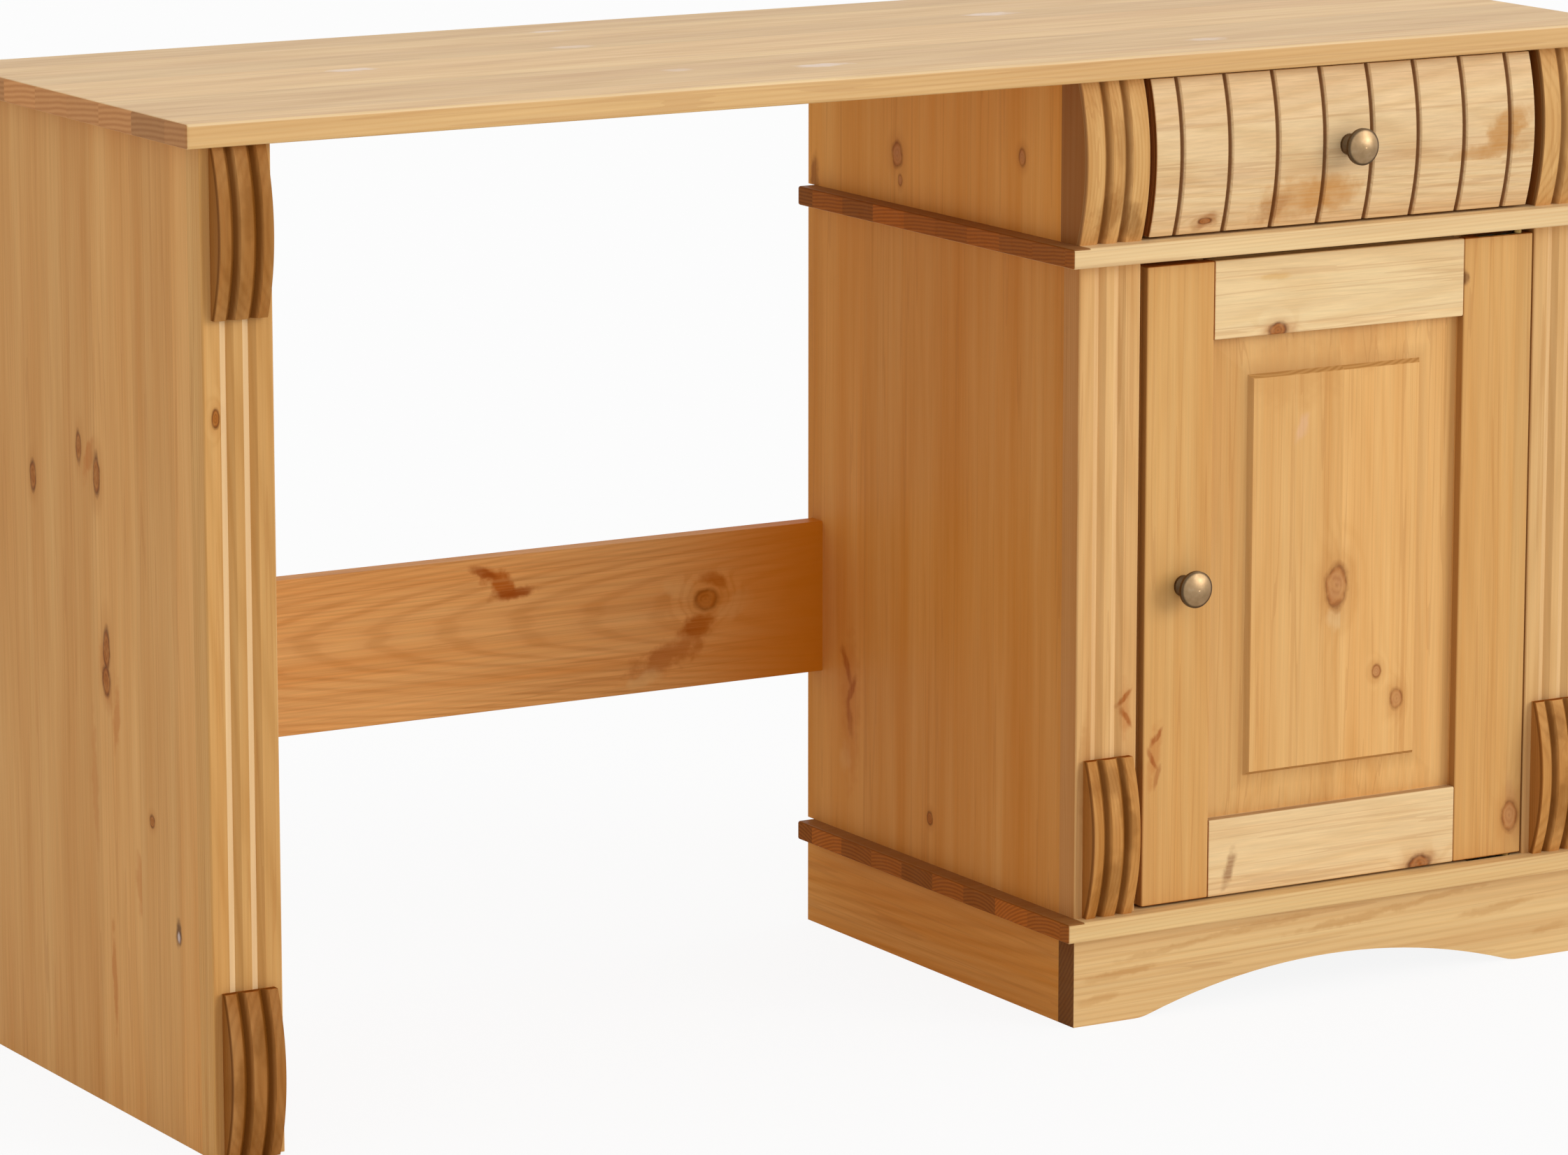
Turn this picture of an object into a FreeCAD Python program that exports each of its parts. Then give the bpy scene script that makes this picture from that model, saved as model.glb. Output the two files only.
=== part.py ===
import FreeCAD, Part
import math
import os

# Kneehole desk in solid pine: a pedestal with one drawer over one door on the right, an end panel on the
# left, a back rail between them and one long top. Millimetres, +Z up, the front faces -Y.
# The desk is laid out from the top board's front left corner and moved at the end, so that the origin
# lies on the floor under the middle of its outline.

# Desk as a whole
desk_height = 760.0
top_length = 1260.0
top_depth = 420.0
top_thick = 18.0
end_overhang = 17.0
front_overhang = 15.0
panel_thick = 18.0
top_round = 2.5

# Pedestal
cabinet_width = 486.0
plinth_height = 72.0
drawer_bay_height = 126.5
ledge_thick = 15.5
ledge_overhang = 15.0
ledge_setback = 8.0
ledge_round = 2.0
back_panel_thick = 4.0
back_panel_lap = 10.0
back_panel_drop = 12.0
back_panel_play = 0.3

# Pilasters and the bowed blocks on them
pilaster_width = 56.0
pilaster_thick = 22.0
pilaster_round = 1.5
flute_width = 11.0
flute_depth = 2.5
flute_spacing = 18.0
block_width = 42.0
block_height = 125.0
block_edge = 6.0
block_bow = 12.0
block_groove_width = 8.5
block_groove_depth = 4.0
block_groove_spacing = 18.0

# Drawer front and the bowed blocks beside it
bay_block_thick = 27.0
bay_bow = 11.0
drawer_head_gap = 2.5
drawer_foot_gap = 2.0
drawer_left_gap = 6.5
drawer_right_gap = 10.0
drawer_groove_count = 8
drawer_groove_pitch = 44.3
drawer_groove_width = 6.0
drawer_groove_depth = 3.0

# Plinth
apron_thick = 22.0
apron_foot = 57.0
apron_arch = 28.5
apron_foot_round = 45.0
plinth_block_size = 25.0
plinth_block_height = 60.0

# Back rail
rail_height = 125.0
rail_thick = 18.0
rail_bottom = 215.0
rail_setback = 5.0
rail_round = 1.5

# Door
door_knob_side_gap = 6.5
door_hinge_side_gap = 1.5
door_head_gap = 5.5
door_foot_gap = 1.5
door_thick = 20.0
knob_stile_width = 62.0
hinge_stile_width = 66.5
door_rail_width = 62.0
door_round = 1.5
panel_groove_depth = 9.0
panel_groove_back = 4.0
panel_tongue_thick = 6.0
panel_play = 0.2
panel_edge_play = 1.5
tenon_play = 0.5
field_side_margin = 40.0
field_end_margin = 34.0
field_recess = 3.0
field_step = 4.5
field_step_width = 3.0
bevel_inset = 0.6

# Pivot hinges, let into the ends of the door and into the boards above and below it
hinge_inset = 12.0
hinge_setback = 5.5
leaf_length = 40.0
leaf_width = 9.0
leaf_thick = 2.5
leaf_play = 0.1
pivot_radius = 2.2
pivot_clearance = 0.05
pivot_tail = 2.0
washer_radius = 4.0
washer_play = 0.2
hinge_screw_length = 11.0
hinge_screw_radius = 1.4
hinge_screw_head = 2.8
hinge_screw_first = 12.0
hinge_screw_pitch = 14.0

# Magnetic catch
catch_length = 40.0
catch_depth = 14.0
catch_height = 16.0
catch_offset = 24.0
catch_plate_thick = 1.0
catch_plate_margin = 5.0
catch_gap = 0.3

# Drawer box and its guides
drawer_rear_gap = 20.0
drawer_side_thick = 12.0
drawer_side_height = 88.0
drawer_side_inset = 1.5
drawer_keep = 70.0
drawer_bottom_thick = 4.0
drawer_bottom_groove = 6.0
drawer_bottom_rise = 8.0
drawer_bottom_play = 0.2
drawer_round = 1.0
runner_ledge_height = 8.0
runner_ledge_width = 14.0
runner_guide_height = 40.0
runner_front_gap = 1.0
runner_rear_gap = 12.0
slide_play = 0.3
guide_play = 1.0
stop_length = 20.0
stop_height = 22.0
stop_catch = 6.0
stop_play = 0.5
cleat_size = 20.0
cleat_end_gap = 40.0
kicker_front_gap = 5.0

# Cupboard shelf
shelf_thick = 16.0
shelf_height = 240.0
shelf_front_gap = 24.0
shelf_rear_gap = 4.0
shelf_side_gap = 1.0
shelf_round = 1.0
pin_radius = 2.5
pin_length = 20.0
pin_depth = 8.0
pin_collar_radius = 4.0
pin_collar_thick = 2.0
pin_inset = 45.0
pin_play = 0.1

# Knobs
knob_base_radius = 8.5
knob_base_height = 2.5
knob_neck_radius = 5.0
knob_neck_height = 8.0
knob_rim_radius = 14.5
knob_rim_low = 16.5
knob_rim_high = 19.0
knob_height = 23.0
knob_screw_radius = 2.0
knob_screw_play = 0.25
knob_screw_grip = 8.0
knob_screw_head_radius = 4.0
knob_screw_head_height = 2.5
knob_bore_spare = 1.0
door_knob_inset = 35.5

# Dowels and wood screws
dowel_radius = 4.0
dowel_depth = 12.0
dowel_long_depth = 20.0
dowel_top_depth = 12.0
dowel_end_inset = 60.0
rail_dowel_depth = 10.0
rail_dowel_inset = 30.0
drawer_dowel_radius = 3.0
drawer_dowel_depth = 12.0
drawer_dowel_side_depth = 8.0
drawer_dowel_inset = 24.0
joint_play = 0.05
joint_end_play = 1.0
screw_radius = 2.0
screw_head_radius = 4.0
screw_bite = 10.0
screw_inset = 40.0
screw_play = 0.1

Vec = FreeCAD.Vector

# Levels, from the floor up
under_top = desk_height - top_thick
mid_top = under_top - drawer_bay_height
mid_low = mid_top - ledge_thick
bottom_top = plinth_height + ledge_thick

# Planes, from the front back
face_y = front_overhang
pilaster_back = face_y + pilaster_thick
bay_block_back = face_y + bay_block_thick
apron_back = face_y + apron_thick
rear_y = top_depth
ledge_rear = rear_y - ledge_setback
rail_rear = rear_y - rail_setback
door_back = face_y + door_thick

# Planes, from left to right
leg_left = end_overhang
leg_inner = leg_left + panel_thick
cabinet_right = top_length - end_overhang
cabinet_left = cabinet_right - cabinet_width
inner_left = cabinet_left + panel_thick
inner_right = cabinet_right - panel_thick
opening_left = cabinet_left + pilaster_width
opening_right = cabinet_right - pilaster_width
cabinet_middle = (cabinet_left + cabinet_right) / 2
door_left = opening_left + door_knob_side_gap
door_right = opening_right - door_hinge_side_gap
door_low = bottom_top + door_foot_gap
door_high = mid_low - door_head_gap
front_left = opening_left + drawer_left_gap
front_right = opening_right - drawer_right_gap
front_middle = (front_left + front_right) / 2
drawer_left = front_left + drawer_side_inset
drawer_right = front_right - drawer_side_inset
drawer_low = mid_top + runner_ledge_height + slide_play
drawer_high = drawer_low + drawer_side_height
drawer_rear = ledge_rear - drawer_rear_gap
drawer_depth = drawer_rear - bay_block_back
drawer_travel = drawer_depth - drawer_keep

# Hinge axis, near the door's front right edge
hinge_x = door_right - hinge_inset
hinge_y = face_y + hinge_setback


def box(x_low, x_high, y_low, y_high, z_low, z_high):
    """A plain board between two corners."""
    return Part.makeBox(x_high - x_low, y_high - y_low, z_high - z_low, Vec(x_low, y_low, z_low))


def eased(shape, radius):
    """A board with all its edges rounded a little."""
    return shape.makeFillet(radius, shape.Edges)


def rod(start, end, radius):
    """A round bar from one point to another."""
    reach = end - start
    return Part.makeCylinder(radius, reach.Length, start, reach)


def turned(profile, start, direction):
    """A turned piece: (radius, distance) points about an axis through start."""
    along = Vec(direction).normalize()
    across = Vec(0, 0, 1) if abs(along.z) < 0.5 else Vec(1, 0, 0)
    points = [start + across * radius + along * distance for radius, distance in profile]
    outline = Part.makePolygon(points + points[:1])
    return Part.Face(outline).revolve(start, along, 360)


def wood_screw(start, direction, length, radius, head_radius, grow=0.0):
    """A countersunk screw with its head flush at start. grow makes its hole."""
    shank = radius + grow
    head = head_radius + grow
    profile = [(0, 0), (head, 0), (shank, head - shank), (shank, length + grow), (0, length + grow)]
    return turned(profile, start, direction)


def together(solids):
    """Separate solids that share one node."""
    return Part.makeCompound(solids)


def span(first, second):
    """Two places on an axis, the lower one first."""
    return min(first, second), max(first, second)


def cut_all(shape, tools):
    """A piece with every bore, groove and mortise in the list taken out."""
    for tool in tools:
        shape = shape.cut(tool)
    return shape


# Dowels

class Dowel:
    """A dowel and its bore: depth on each side of the joint plane at the given point."""

    def __init__(self, point, direction, depth_before, depth_after, radius=dowel_radius):
        self.point = point
        self.along = Vec(direction).normalize()
        self.depth_before = depth_before
        self.depth_after = depth_after
        self.radius = radius

    def bar(self, radius, spare):
        start = self.point - self.along * (self.depth_before + spare)
        end = self.point + self.along * (self.depth_after + spare)
        return rod(start, end, radius)

    def solid(self):
        return self.bar(self.radius, 0.0)

    def bore(self):
        return self.bar(self.radius + joint_play, joint_end_play)


dowel_front_y = bay_block_back + dowel_end_inset
dowel_rear_y = ledge_rear - dowel_end_inset
side_dowel_places = []
for side_middle in (cabinet_left + panel_thick / 2, cabinet_right - panel_thick / 2):
    for dowel_y in (dowel_front_y, dowel_rear_y):
        side_dowel_places.append((side_middle, dowel_y))
leg_dowel_places = [(leg_left + panel_thick / 2, dowel_y) for dowel_y in (dowel_front_y, dowel_rear_y)]

up = Vec(0, 0, 1)
mid_dowels = []
bottom_dowels = []
top_dowels = []
for place_x, place_y in side_dowel_places:
    mid_dowels.append(Dowel(Vec(place_x, place_y, mid_low), up, dowel_depth, ledge_thick + dowel_depth))
    bottom_place = Vec(place_x, place_y, plinth_height)
    bottom_dowels.append(Dowel(bottom_place, up, dowel_depth, ledge_thick + dowel_depth))
for place_x, place_y in side_dowel_places + leg_dowel_places:
    top_dowels.append(Dowel(Vec(place_x, place_y, under_top), up, dowel_long_depth, dowel_top_depth))

rail_dowels = []
rail_middle_y = rail_rear - rail_thick / 2
for dowel_z in (rail_bottom + rail_dowel_inset, rail_bottom + rail_height - rail_dowel_inset):
    left_end = Vec(leg_inner, rail_middle_y, dowel_z)
    rail_dowels.append(Dowel(left_end, Vec(1, 0, 0), rail_dowel_depth, dowel_long_depth))
    right_end = Vec(cabinet_left, rail_middle_y, dowel_z)
    rail_dowels.append(Dowel(right_end, Vec(-1, 0, 0), rail_dowel_depth, dowel_long_depth))

mid_bores = [dowel.bore() for dowel in mid_dowels]
bottom_bores = [dowel.bore() for dowel in bottom_dowels]
top_bores = [dowel.bore() for dowel in top_dowels]
rail_bores = [dowel.bore() for dowel in rail_dowels]


# Screws that hold the top down to the cleat and the kickers

cleat_low = under_top - cleat_size
kicker_front = bay_block_back + kicker_front_gap
cleat_spans = {
    "leg_top_cleat": (leg_inner, pilaster_back + cleat_end_gap, rear_y - cleat_end_gap),
    "drawer_kicker_left": (inner_left, kicker_front, ledge_rear - joint_end_play),
    "drawer_kicker_right": (inner_right - cleat_size, kicker_front, ledge_rear - joint_end_play),
}
top_screw_length = cleat_size + screw_bite
top_screw_places = []
for cleat_x, cleat_front, cleat_rear in cleat_spans.values():
    for screw_y in (cleat_front + screw_inset, (cleat_front + cleat_rear) / 2, cleat_rear - screw_inset):
        top_screw_places.append(Vec(cleat_x + cleat_size / 2, screw_y, cleat_low))


def top_screw(place, grow=0.0):
    return wood_screw(place, up, top_screw_length, screw_radius, screw_head_radius, grow)


top_screw_holes = [top_screw(place, screw_play) for place in top_screw_places]


def cleat(name):
    """A square batten under the top, bored for its screws."""
    x_low, y_low, y_high = cleat_spans[name]
    batten = box(x_low, x_low + cleat_size, y_low, y_high, cleat_low, under_top)
    return cut_all(batten, top_screw_holes)


# Top, end panel and back rail

def desk_top():
    board = eased(box(0, top_length, 0, top_depth, under_top, desk_height), top_round)
    return cut_all(board, top_bores + top_screw_holes)


def leg_panel():
    board = box(leg_left, leg_inner, pilaster_back, rear_y, 0, under_top)
    return cut_all(board, top_bores + rail_bores)


def back_rail():
    rail_top = rail_bottom + rail_height
    board = box(leg_inner, cabinet_left, rail_rear - rail_thick, rail_rear, rail_bottom, rail_top)
    long_edges = [edge for edge in board.Edges if edge.BoundBox.XLength > rail_height]
    return cut_all(board.makeFillet(rail_round, long_edges), rail_bores)


def pilaster(x_left, z_low, z_high):
    """A strip with two V-shaped flutes down its front."""
    x_right = x_left + pilaster_width
    middle = (x_left + x_right) / 2
    outline = [(x_left, face_y)]
    for centre in (middle - flute_spacing / 2, middle + flute_spacing / 2):
        outline.append((centre - flute_width / 2, face_y))
        outline.append((centre, face_y + flute_depth))
        outline.append((centre + flute_width / 2, face_y))
    outline += [(x_right, face_y), (x_right, pilaster_back), (x_left, pilaster_back), (x_left, face_y)]
    section = Part.Face(Part.makePolygon([Vec(x, y, z_low) for x, y in outline]))
    strip = section.extrude(Vec(0, 0, z_high - z_low))
    corners = []
    for edge in strip.Edges:
        place = edge.BoundBox.Center
        at_side = min(abs(place.x - x_left), abs(place.x - x_right)) < flute_depth / 10
        if at_side and abs(place.y - face_y) < flute_depth / 10 and edge.BoundBox.ZLength > pilaster_width:
            corners.append(edge)
    return strip.makeFillet(pilaster_round, corners)


# Bowed pieces: the front is an arc of a circle that is seen from the side

class Bow:
    """The circle through the front of a bowed piece, from its two ends and its bow."""

    def __init__(self, end_y, bow, z_low, z_high):
        half = (z_high - z_low) / 2
        self.radius = (half ** 2 + bow ** 2) / (2 * bow)
        self.y = end_y - bow + self.radius
        self.z = (z_low + z_high) / 2

    def front(self, z):
        return self.y - math.sqrt(self.radius ** 2 - (z - self.z) ** 2)

    def solid(self, x_low, x_high, back_y, z_low, z_high):
        low_front = Vec(x_low, self.front(z_low), z_low)
        high_front = Vec(x_low, self.front(z_high), z_high)
        low_back = Vec(x_low, back_y, z_low)
        high_back = Vec(x_low, back_y, z_high)
        crown = Vec(x_low, self.y - self.radius, self.z)
        edges = [Part.Arc(low_front, crown, high_front).toShape()]
        for start, end in ((high_front, high_back), (high_back, low_back), (low_back, low_front)):
            edges.append(Part.LineSegment(start, end).toShape())
        return Part.Face(Part.Wire(edges)).extrude(Vec(x_high - x_low, 0, 0))

    def groove(self, x, width, depth):
        """A V-shaped ring that cuts a groove of even depth along the bow."""
        axis_point = Vec(x, self.y, self.z)
        section = [(-width, depth), (width, depth), (0, -depth)]
        points = [Vec(x + across, self.y - self.radius - out, self.z) for across, out in section]
        ring = Part.Face(Part.makePolygon(points + points[:1]))
        return ring.revolve(axis_point, Vec(1, 0, 0), 360)


def paired_grooves(bow, middle):
    """The two grooves that leave three ridges on a block."""
    shift = block_groove_spacing / 2
    return [bow.groove(middle + side * shift, block_groove_width, block_groove_depth) for side in (-1, 1)]


def pilaster_block(pilaster_left, z_low):
    """A bowed block on the front of a pilaster."""
    middle = pilaster_left + pilaster_width / 2
    bow = Bow(face_y - block_edge, block_bow, z_low, z_low + block_height)
    half = block_width / 2
    block = bow.solid(middle - half, middle + half, face_y, z_low, z_low + block_height)
    return cut_all(block, paired_grooves(bow, middle))


bay_bow_line = Bow(face_y, bay_bow, mid_top, under_top)


def drawer_block(pilaster_left):
    """A bowed block that closes the drawer bay beside the drawer front."""
    pilaster_right = pilaster_left + pilaster_width
    block = bay_bow_line.solid(pilaster_left, pilaster_right, bay_block_back, mid_top, under_top)
    return cut_all(block, paired_grooves(bay_bow_line, pilaster_left + pilaster_width / 2))


# Pedestal carcass

def rebate(z_low, z_high):
    """The step in the rear edges of the sides that takes the back panel."""
    x_low = inner_left - back_panel_lap
    x_high = inner_right + back_panel_lap
    return box(x_low, x_high, ledge_rear, rear_y, z_low, z_high)


shelf_low = bottom_top + shelf_height
pin_z = shelf_low - pin_radius - pin_play
shelf_front = door_back + shelf_front_gap
shelf_rear = ledge_rear - shelf_rear_gap
pin_places = []
for pin_y in (shelf_front + pin_inset, shelf_rear - pin_inset):
    pin_places.append((inner_left, pin_y, 1))
    pin_places.append((inner_right, pin_y, -1))


def shelf_pin(wall_x, pin_y, inwards):
    """A pin in the side with a collar against its inner face."""
    start = Vec(wall_x - inwards * pin_depth, pin_y, pin_z)
    collar_start = Vec(wall_x, pin_y, pin_z)
    inward = Vec(inwards, 0, 0)
    pin = rod(start, start + inward * pin_length, pin_radius)
    collar = rod(collar_start, collar_start + inward * pin_collar_thick, pin_collar_radius)
    return pin.fuse(collar).removeSplitter()


def shelf_pin_hole(wall_x, pin_y, inwards):
    outside = Vec(wall_x - inwards * (pin_depth + joint_end_play), pin_y, pin_z)
    return rod(outside, Vec(wall_x, pin_y, pin_z), pin_radius + joint_play)


def cabinet_side(x_left):
    board = box(x_left, x_left + panel_thick, pilaster_back, rear_y, bottom_top, mid_low)
    pin_holes = [shelf_pin_hole(*place) for place in pin_places]
    cuts = [rebate(bottom_top, mid_low)] + mid_bores + bottom_bores + rail_bores + pin_holes
    return cut_all(board, cuts)


def drawer_case_side(x_left):
    board = box(x_left, x_left + panel_thick, bay_block_back, rear_y, mid_top, under_top)
    return cut_all(board, [rebate(mid_top, under_top)] + mid_bores + top_bores + runner_screw_holes)


def ledge(z_low, bores):
    """A board that stands out past the pedestal at the front and at both sides."""
    x_low = cabinet_left - ledge_overhang
    x_high = cabinet_right + ledge_overhang
    board = eased(box(x_low, x_high, 0, ledge_rear, z_low, z_low + ledge_thick), ledge_round)
    return cut_all(board, bores + case_leaf_mortises + case_screw_holes)


def back_panel():
    x_low = inner_left - back_panel_lap + back_panel_play
    x_high = inner_right + back_panel_lap - back_panel_play
    z_low = bottom_top - back_panel_drop
    z_high = under_top - back_panel_play
    return box(x_low, x_high, ledge_rear, ledge_rear + back_panel_thick, z_low, z_high)


def cupboard_shelf():
    x_low = inner_left + pin_collar_thick + shelf_side_gap
    x_high = inner_right - pin_collar_thick - shelf_side_gap
    return eased(box(x_low, x_high, shelf_front, shelf_rear, shelf_low, shelf_low + shelf_thick), shelf_round)


# Plinth

def plinth_apron():
    """The front board with its arch: a flat foot at each end, a small easing and one long arc."""
    foot_left = cabinet_left + apron_foot
    foot_right = cabinet_right - apron_foot
    half = (foot_right - foot_left) / 2
    arch_radius = (half ** 2 - 2 * apron_foot_round * apron_arch + apron_arch ** 2) / (2 * apron_arch)
    between = arch_radius + apron_foot_round
    sway = apron_foot_round * half / between
    rise = apron_foot_round - apron_foot_round * (between - apron_arch) / between
    lean = math.asin(half / between) / 2
    half_sway = apron_foot_round * math.sin(lean)
    half_rise = apron_foot_round * (1 - math.cos(lean))

    def at(x, z):
        return Vec(x, face_y, z)

    outline = [
        Part.LineSegment(at(cabinet_left, plinth_height), at(cabinet_left, 0)),
        Part.LineSegment(at(cabinet_left, 0), at(foot_left, 0)),
        Part.Arc(at(foot_left, 0), at(foot_left + half_sway, half_rise), at(foot_left + sway, rise)),
        Part.Arc(at(foot_left + sway, rise), at(cabinet_middle, apron_arch), at(foot_right - sway, rise)),
        Part.Arc(at(foot_right - sway, rise), at(foot_right - half_sway, half_rise), at(foot_right, 0)),
        Part.LineSegment(at(foot_right, 0), at(cabinet_right, 0)),
        Part.LineSegment(at(cabinet_right, 0), at(cabinet_right, plinth_height)),
        Part.LineSegment(at(cabinet_right, plinth_height), at(cabinet_left, plinth_height)),
    ]
    section = Part.Face(Part.Wire([piece.toShape() for piece in outline]))
    return section.extrude(Vec(0, apron_thick, 0))


def plinth_side(x_left):
    board = box(x_left, x_left + panel_thick, apron_back, rear_y, 0, plinth_height)
    return cut_all(board, bottom_bores)


def plinth_back():
    return box(inner_left, inner_right, ledge_rear - panel_thick, ledge_rear, 0, plinth_height)


def plinth_corner_blocks():
    """Glue blocks in the corners, up against the bottom board."""
    blocks = []
    z_low = plinth_height - plinth_block_height
    back_face = ledge_rear - panel_thick
    for y_low in (apron_back, back_face - plinth_block_size):
        for x_low in (inner_left, inner_right - plinth_block_size):
            x_high = x_low + plinth_block_size
            blocks.append(box(x_low, x_high, y_low, y_low + plinth_block_size, z_low, plinth_height))
    return together(blocks)


# Drawer guides, on the mid board

runner_front = bay_block_back + runner_front_gap
runner_rear = ledge_rear - runner_rear_gap
guide_left = drawer_left - guide_play
guide_right = drawer_right + guide_play
runner_screw_z = mid_top + runner_ledge_height + runner_guide_height / 2
runner_screw_places = []
for runner_screw_y in (runner_front + screw_inset, runner_rear - screw_inset):
    for guide_x, wall_x in ((guide_left, inner_left), (guide_right, inner_right)):
        runner_screw_places.append((Vec(guide_x, runner_screw_y, runner_screw_z), wall_x - guide_x))


def runner_screw(place, reach, grow=0.0):
    """A screw from the guide's face to the wall, which is reach away, and on into the wall."""
    return wood_screw(place, Vec(reach, 0, 0), abs(reach) + screw_bite, screw_radius, screw_head_radius, grow)


runner_screw_holes = [runner_screw(place, reach, screw_play) for place, reach in runner_screw_places]


def drawer_runner(wall_x, guide_x, inwards):
    """An L-shaped strip from the wall: a ledge under the drawer side and a guide beside it."""
    ledge_top = mid_top + runner_ledge_height
    foot_low, foot_high = span(wall_x, guide_x + inwards * runner_ledge_width)
    foot = box(foot_low, foot_high, runner_front, runner_rear, mid_top, ledge_top)
    guide_low, guide_high = span(wall_x, guide_x)
    guide = box(guide_low, guide_high, runner_front, runner_rear, ledge_top, ledge_top + runner_guide_height)
    return cut_all(foot.fuse(guide).removeSplitter(), runner_screw_holes)


# Knobs

def knob(place):
    """A turned mushroom knob that stands out towards -Y, with a blind bore for its screw."""
    bore = knob_screw_radius + joint_play
    bore_end = knob_screw_grip + knob_bore_spare

    def at(radius, distance):
        return Vec(place.x + radius, place.y - distance, place.z)

    flare_radius = (knob_neck_radius + knob_rim_radius) / 2
    flare_height = knob_neck_height + (knob_rim_low - knob_neck_height) * 0.75
    dome_rise = knob_height - knob_rim_high
    dome_sphere = (knob_rim_radius ** 2 + dome_rise ** 2) / (2 * dome_rise)
    half_angle = math.asin(knob_rim_radius / dome_sphere) / 2
    dome_radius = dome_sphere * math.sin(half_angle)
    dome_height = knob_height - dome_sphere * (1 - math.cos(half_angle))
    outline = [
        Part.LineSegment(at(bore, 0), at(knob_base_radius, 0)),
        Part.LineSegment(at(knob_base_radius, 0), at(knob_base_radius, knob_base_height)),
        Part.LineSegment(at(knob_base_radius, knob_base_height), at(knob_neck_radius, knob_neck_height)),
        Part.Arc(at(knob_neck_radius, knob_neck_height), at(flare_radius, flare_height),
                 at(knob_rim_radius, knob_rim_low)),
        Part.LineSegment(at(knob_rim_radius, knob_rim_low), at(knob_rim_radius, knob_rim_high)),
        Part.Arc(at(knob_rim_radius, knob_rim_high), at(dome_radius, dome_height), at(0, knob_height)),
        Part.LineSegment(at(0, knob_height), at(0, bore_end)),
        Part.LineSegment(at(0, bore_end), at(bore, bore_end)),
        Part.LineSegment(at(bore, bore_end), at(bore, 0)),
    ]
    section = Part.Face(Part.Wire([piece.toShape() for piece in outline]))
    return section.revolve(place, Vec(0, 1, 0), 360)


def knob_screw(place, wall):
    """A pan-head screw from the back of a front that is wall thick, into the knob."""
    tip = Vec(place.x, place.y - knob_screw_grip, place.z)
    seat = Vec(place.x, place.y + wall, place.z)
    shank = rod(tip, seat, knob_screw_radius)
    head = rod(seat, seat + Vec(0, knob_screw_head_height, 0), knob_screw_head_radius)
    return shank.fuse(head).removeSplitter()


def knob_hole(place, wall):
    back = Vec(place.x, place.y + wall, place.z)
    return rod(place, back, knob_screw_radius + knob_screw_play)


drawer_knob_place = Vec(front_middle, bay_bow_line.y - bay_bow_line.radius, bay_bow_line.z)
drawer_front_wall = bay_block_back - drawer_knob_place.y
door_knob_place = Vec(door_left + door_knob_inset, face_y, (door_low + door_high) / 2)


# Drawer

drawer_inner_left = drawer_left + drawer_side_thick
drawer_inner_right = drawer_right - drawer_side_thick
drawer_bottom_low = drawer_low + drawer_bottom_rise
drawer_bottom_high = drawer_bottom_low + drawer_bottom_thick
drawer_back_low = drawer_bottom_high + drawer_bottom_play
drawer_back_front = drawer_rear - drawer_side_thick

drawer_dowels = []
drawer_dowel_levels = (drawer_back_low + drawer_dowel_inset, drawer_high - drawer_dowel_inset)
for dowel_z in drawer_dowel_levels:
    for side_middle in (drawer_left + drawer_side_thick / 2, drawer_right - drawer_side_thick / 2):
        joint = Vec(side_middle, bay_block_back, dowel_z)
        drawer_dowels.append(
            Dowel(joint, Vec(0, 1, 0), drawer_dowel_depth, drawer_dowel_depth, drawer_dowel_radius))
    for joint_x, outwards in ((drawer_inner_left, -1), (drawer_inner_right, 1)):
        joint = Vec(joint_x, drawer_rear - drawer_side_thick / 2, dowel_z)
        outward = Vec(outwards, 0, 0)
        drawer_dowels.append(
            Dowel(joint, outward, drawer_dowel_depth, drawer_dowel_side_depth, drawer_dowel_radius))
drawer_bores = [dowel.bore() for dowel in drawer_dowels]

drawer_bottom_slot = box(
    drawer_inner_left - drawer_bottom_groove, drawer_inner_right + drawer_bottom_groove,
    bay_block_back - drawer_bottom_groove, drawer_rear,
    drawer_bottom_low - drawer_bottom_play, drawer_bottom_high + drawer_bottom_play)


def drawer_front():
    z_low = mid_top + drawer_foot_gap
    z_high = under_top - drawer_head_gap
    board = bay_bow_line.solid(front_left, front_right, bay_block_back, z_low, z_high)
    board = eased(board, drawer_round)
    first = front_middle - drawer_groove_pitch * (drawer_groove_count - 1) / 2
    grooves = []
    for index in range(drawer_groove_count):
        groove_x = first + index * drawer_groove_pitch
        if front_left + drawer_groove_width < groove_x < front_right - drawer_groove_width:
            grooves.append(bay_bow_line.groove(groove_x, drawer_groove_width, drawer_groove_depth))
    holes = [knob_hole(drawer_knob_place, drawer_front_wall), drawer_bottom_slot]
    return cut_all(board, grooves + drawer_bores + holes)


def drawer_side(x_low):
    board = box(x_low, x_low + drawer_side_thick, bay_block_back, drawer_rear, drawer_low, drawer_high)
    return cut_all(board, drawer_bores + [drawer_bottom_slot])


def drawer_back():
    board = box(drawer_inner_left, drawer_inner_right, drawer_back_front, drawer_rear,
                drawer_back_low, drawer_high)
    return cut_all(board, drawer_bores)


def drawer_bottom():
    reach = drawer_bottom_groove - drawer_bottom_play
    return box(drawer_inner_left - reach, drawer_inner_right + reach, bay_block_back - reach, drawer_rear,
               drawer_bottom_low, drawer_bottom_high)


def drawer_stops():
    """Blocks on the drawer sides that meet the bay blocks when the drawer is out."""
    y_low = bay_block_back + drawer_travel + stop_play
    z_low = drawer_high - stop_height
    spans = ((opening_left - stop_catch, drawer_left), (drawer_right, opening_right + stop_catch))
    blocks = []
    for x_low, x_high in spans:
        blocks.append(box(x_low, x_high, y_low, y_low + stop_length, z_low, drawer_high))
    return together(blocks)


# Door

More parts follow.
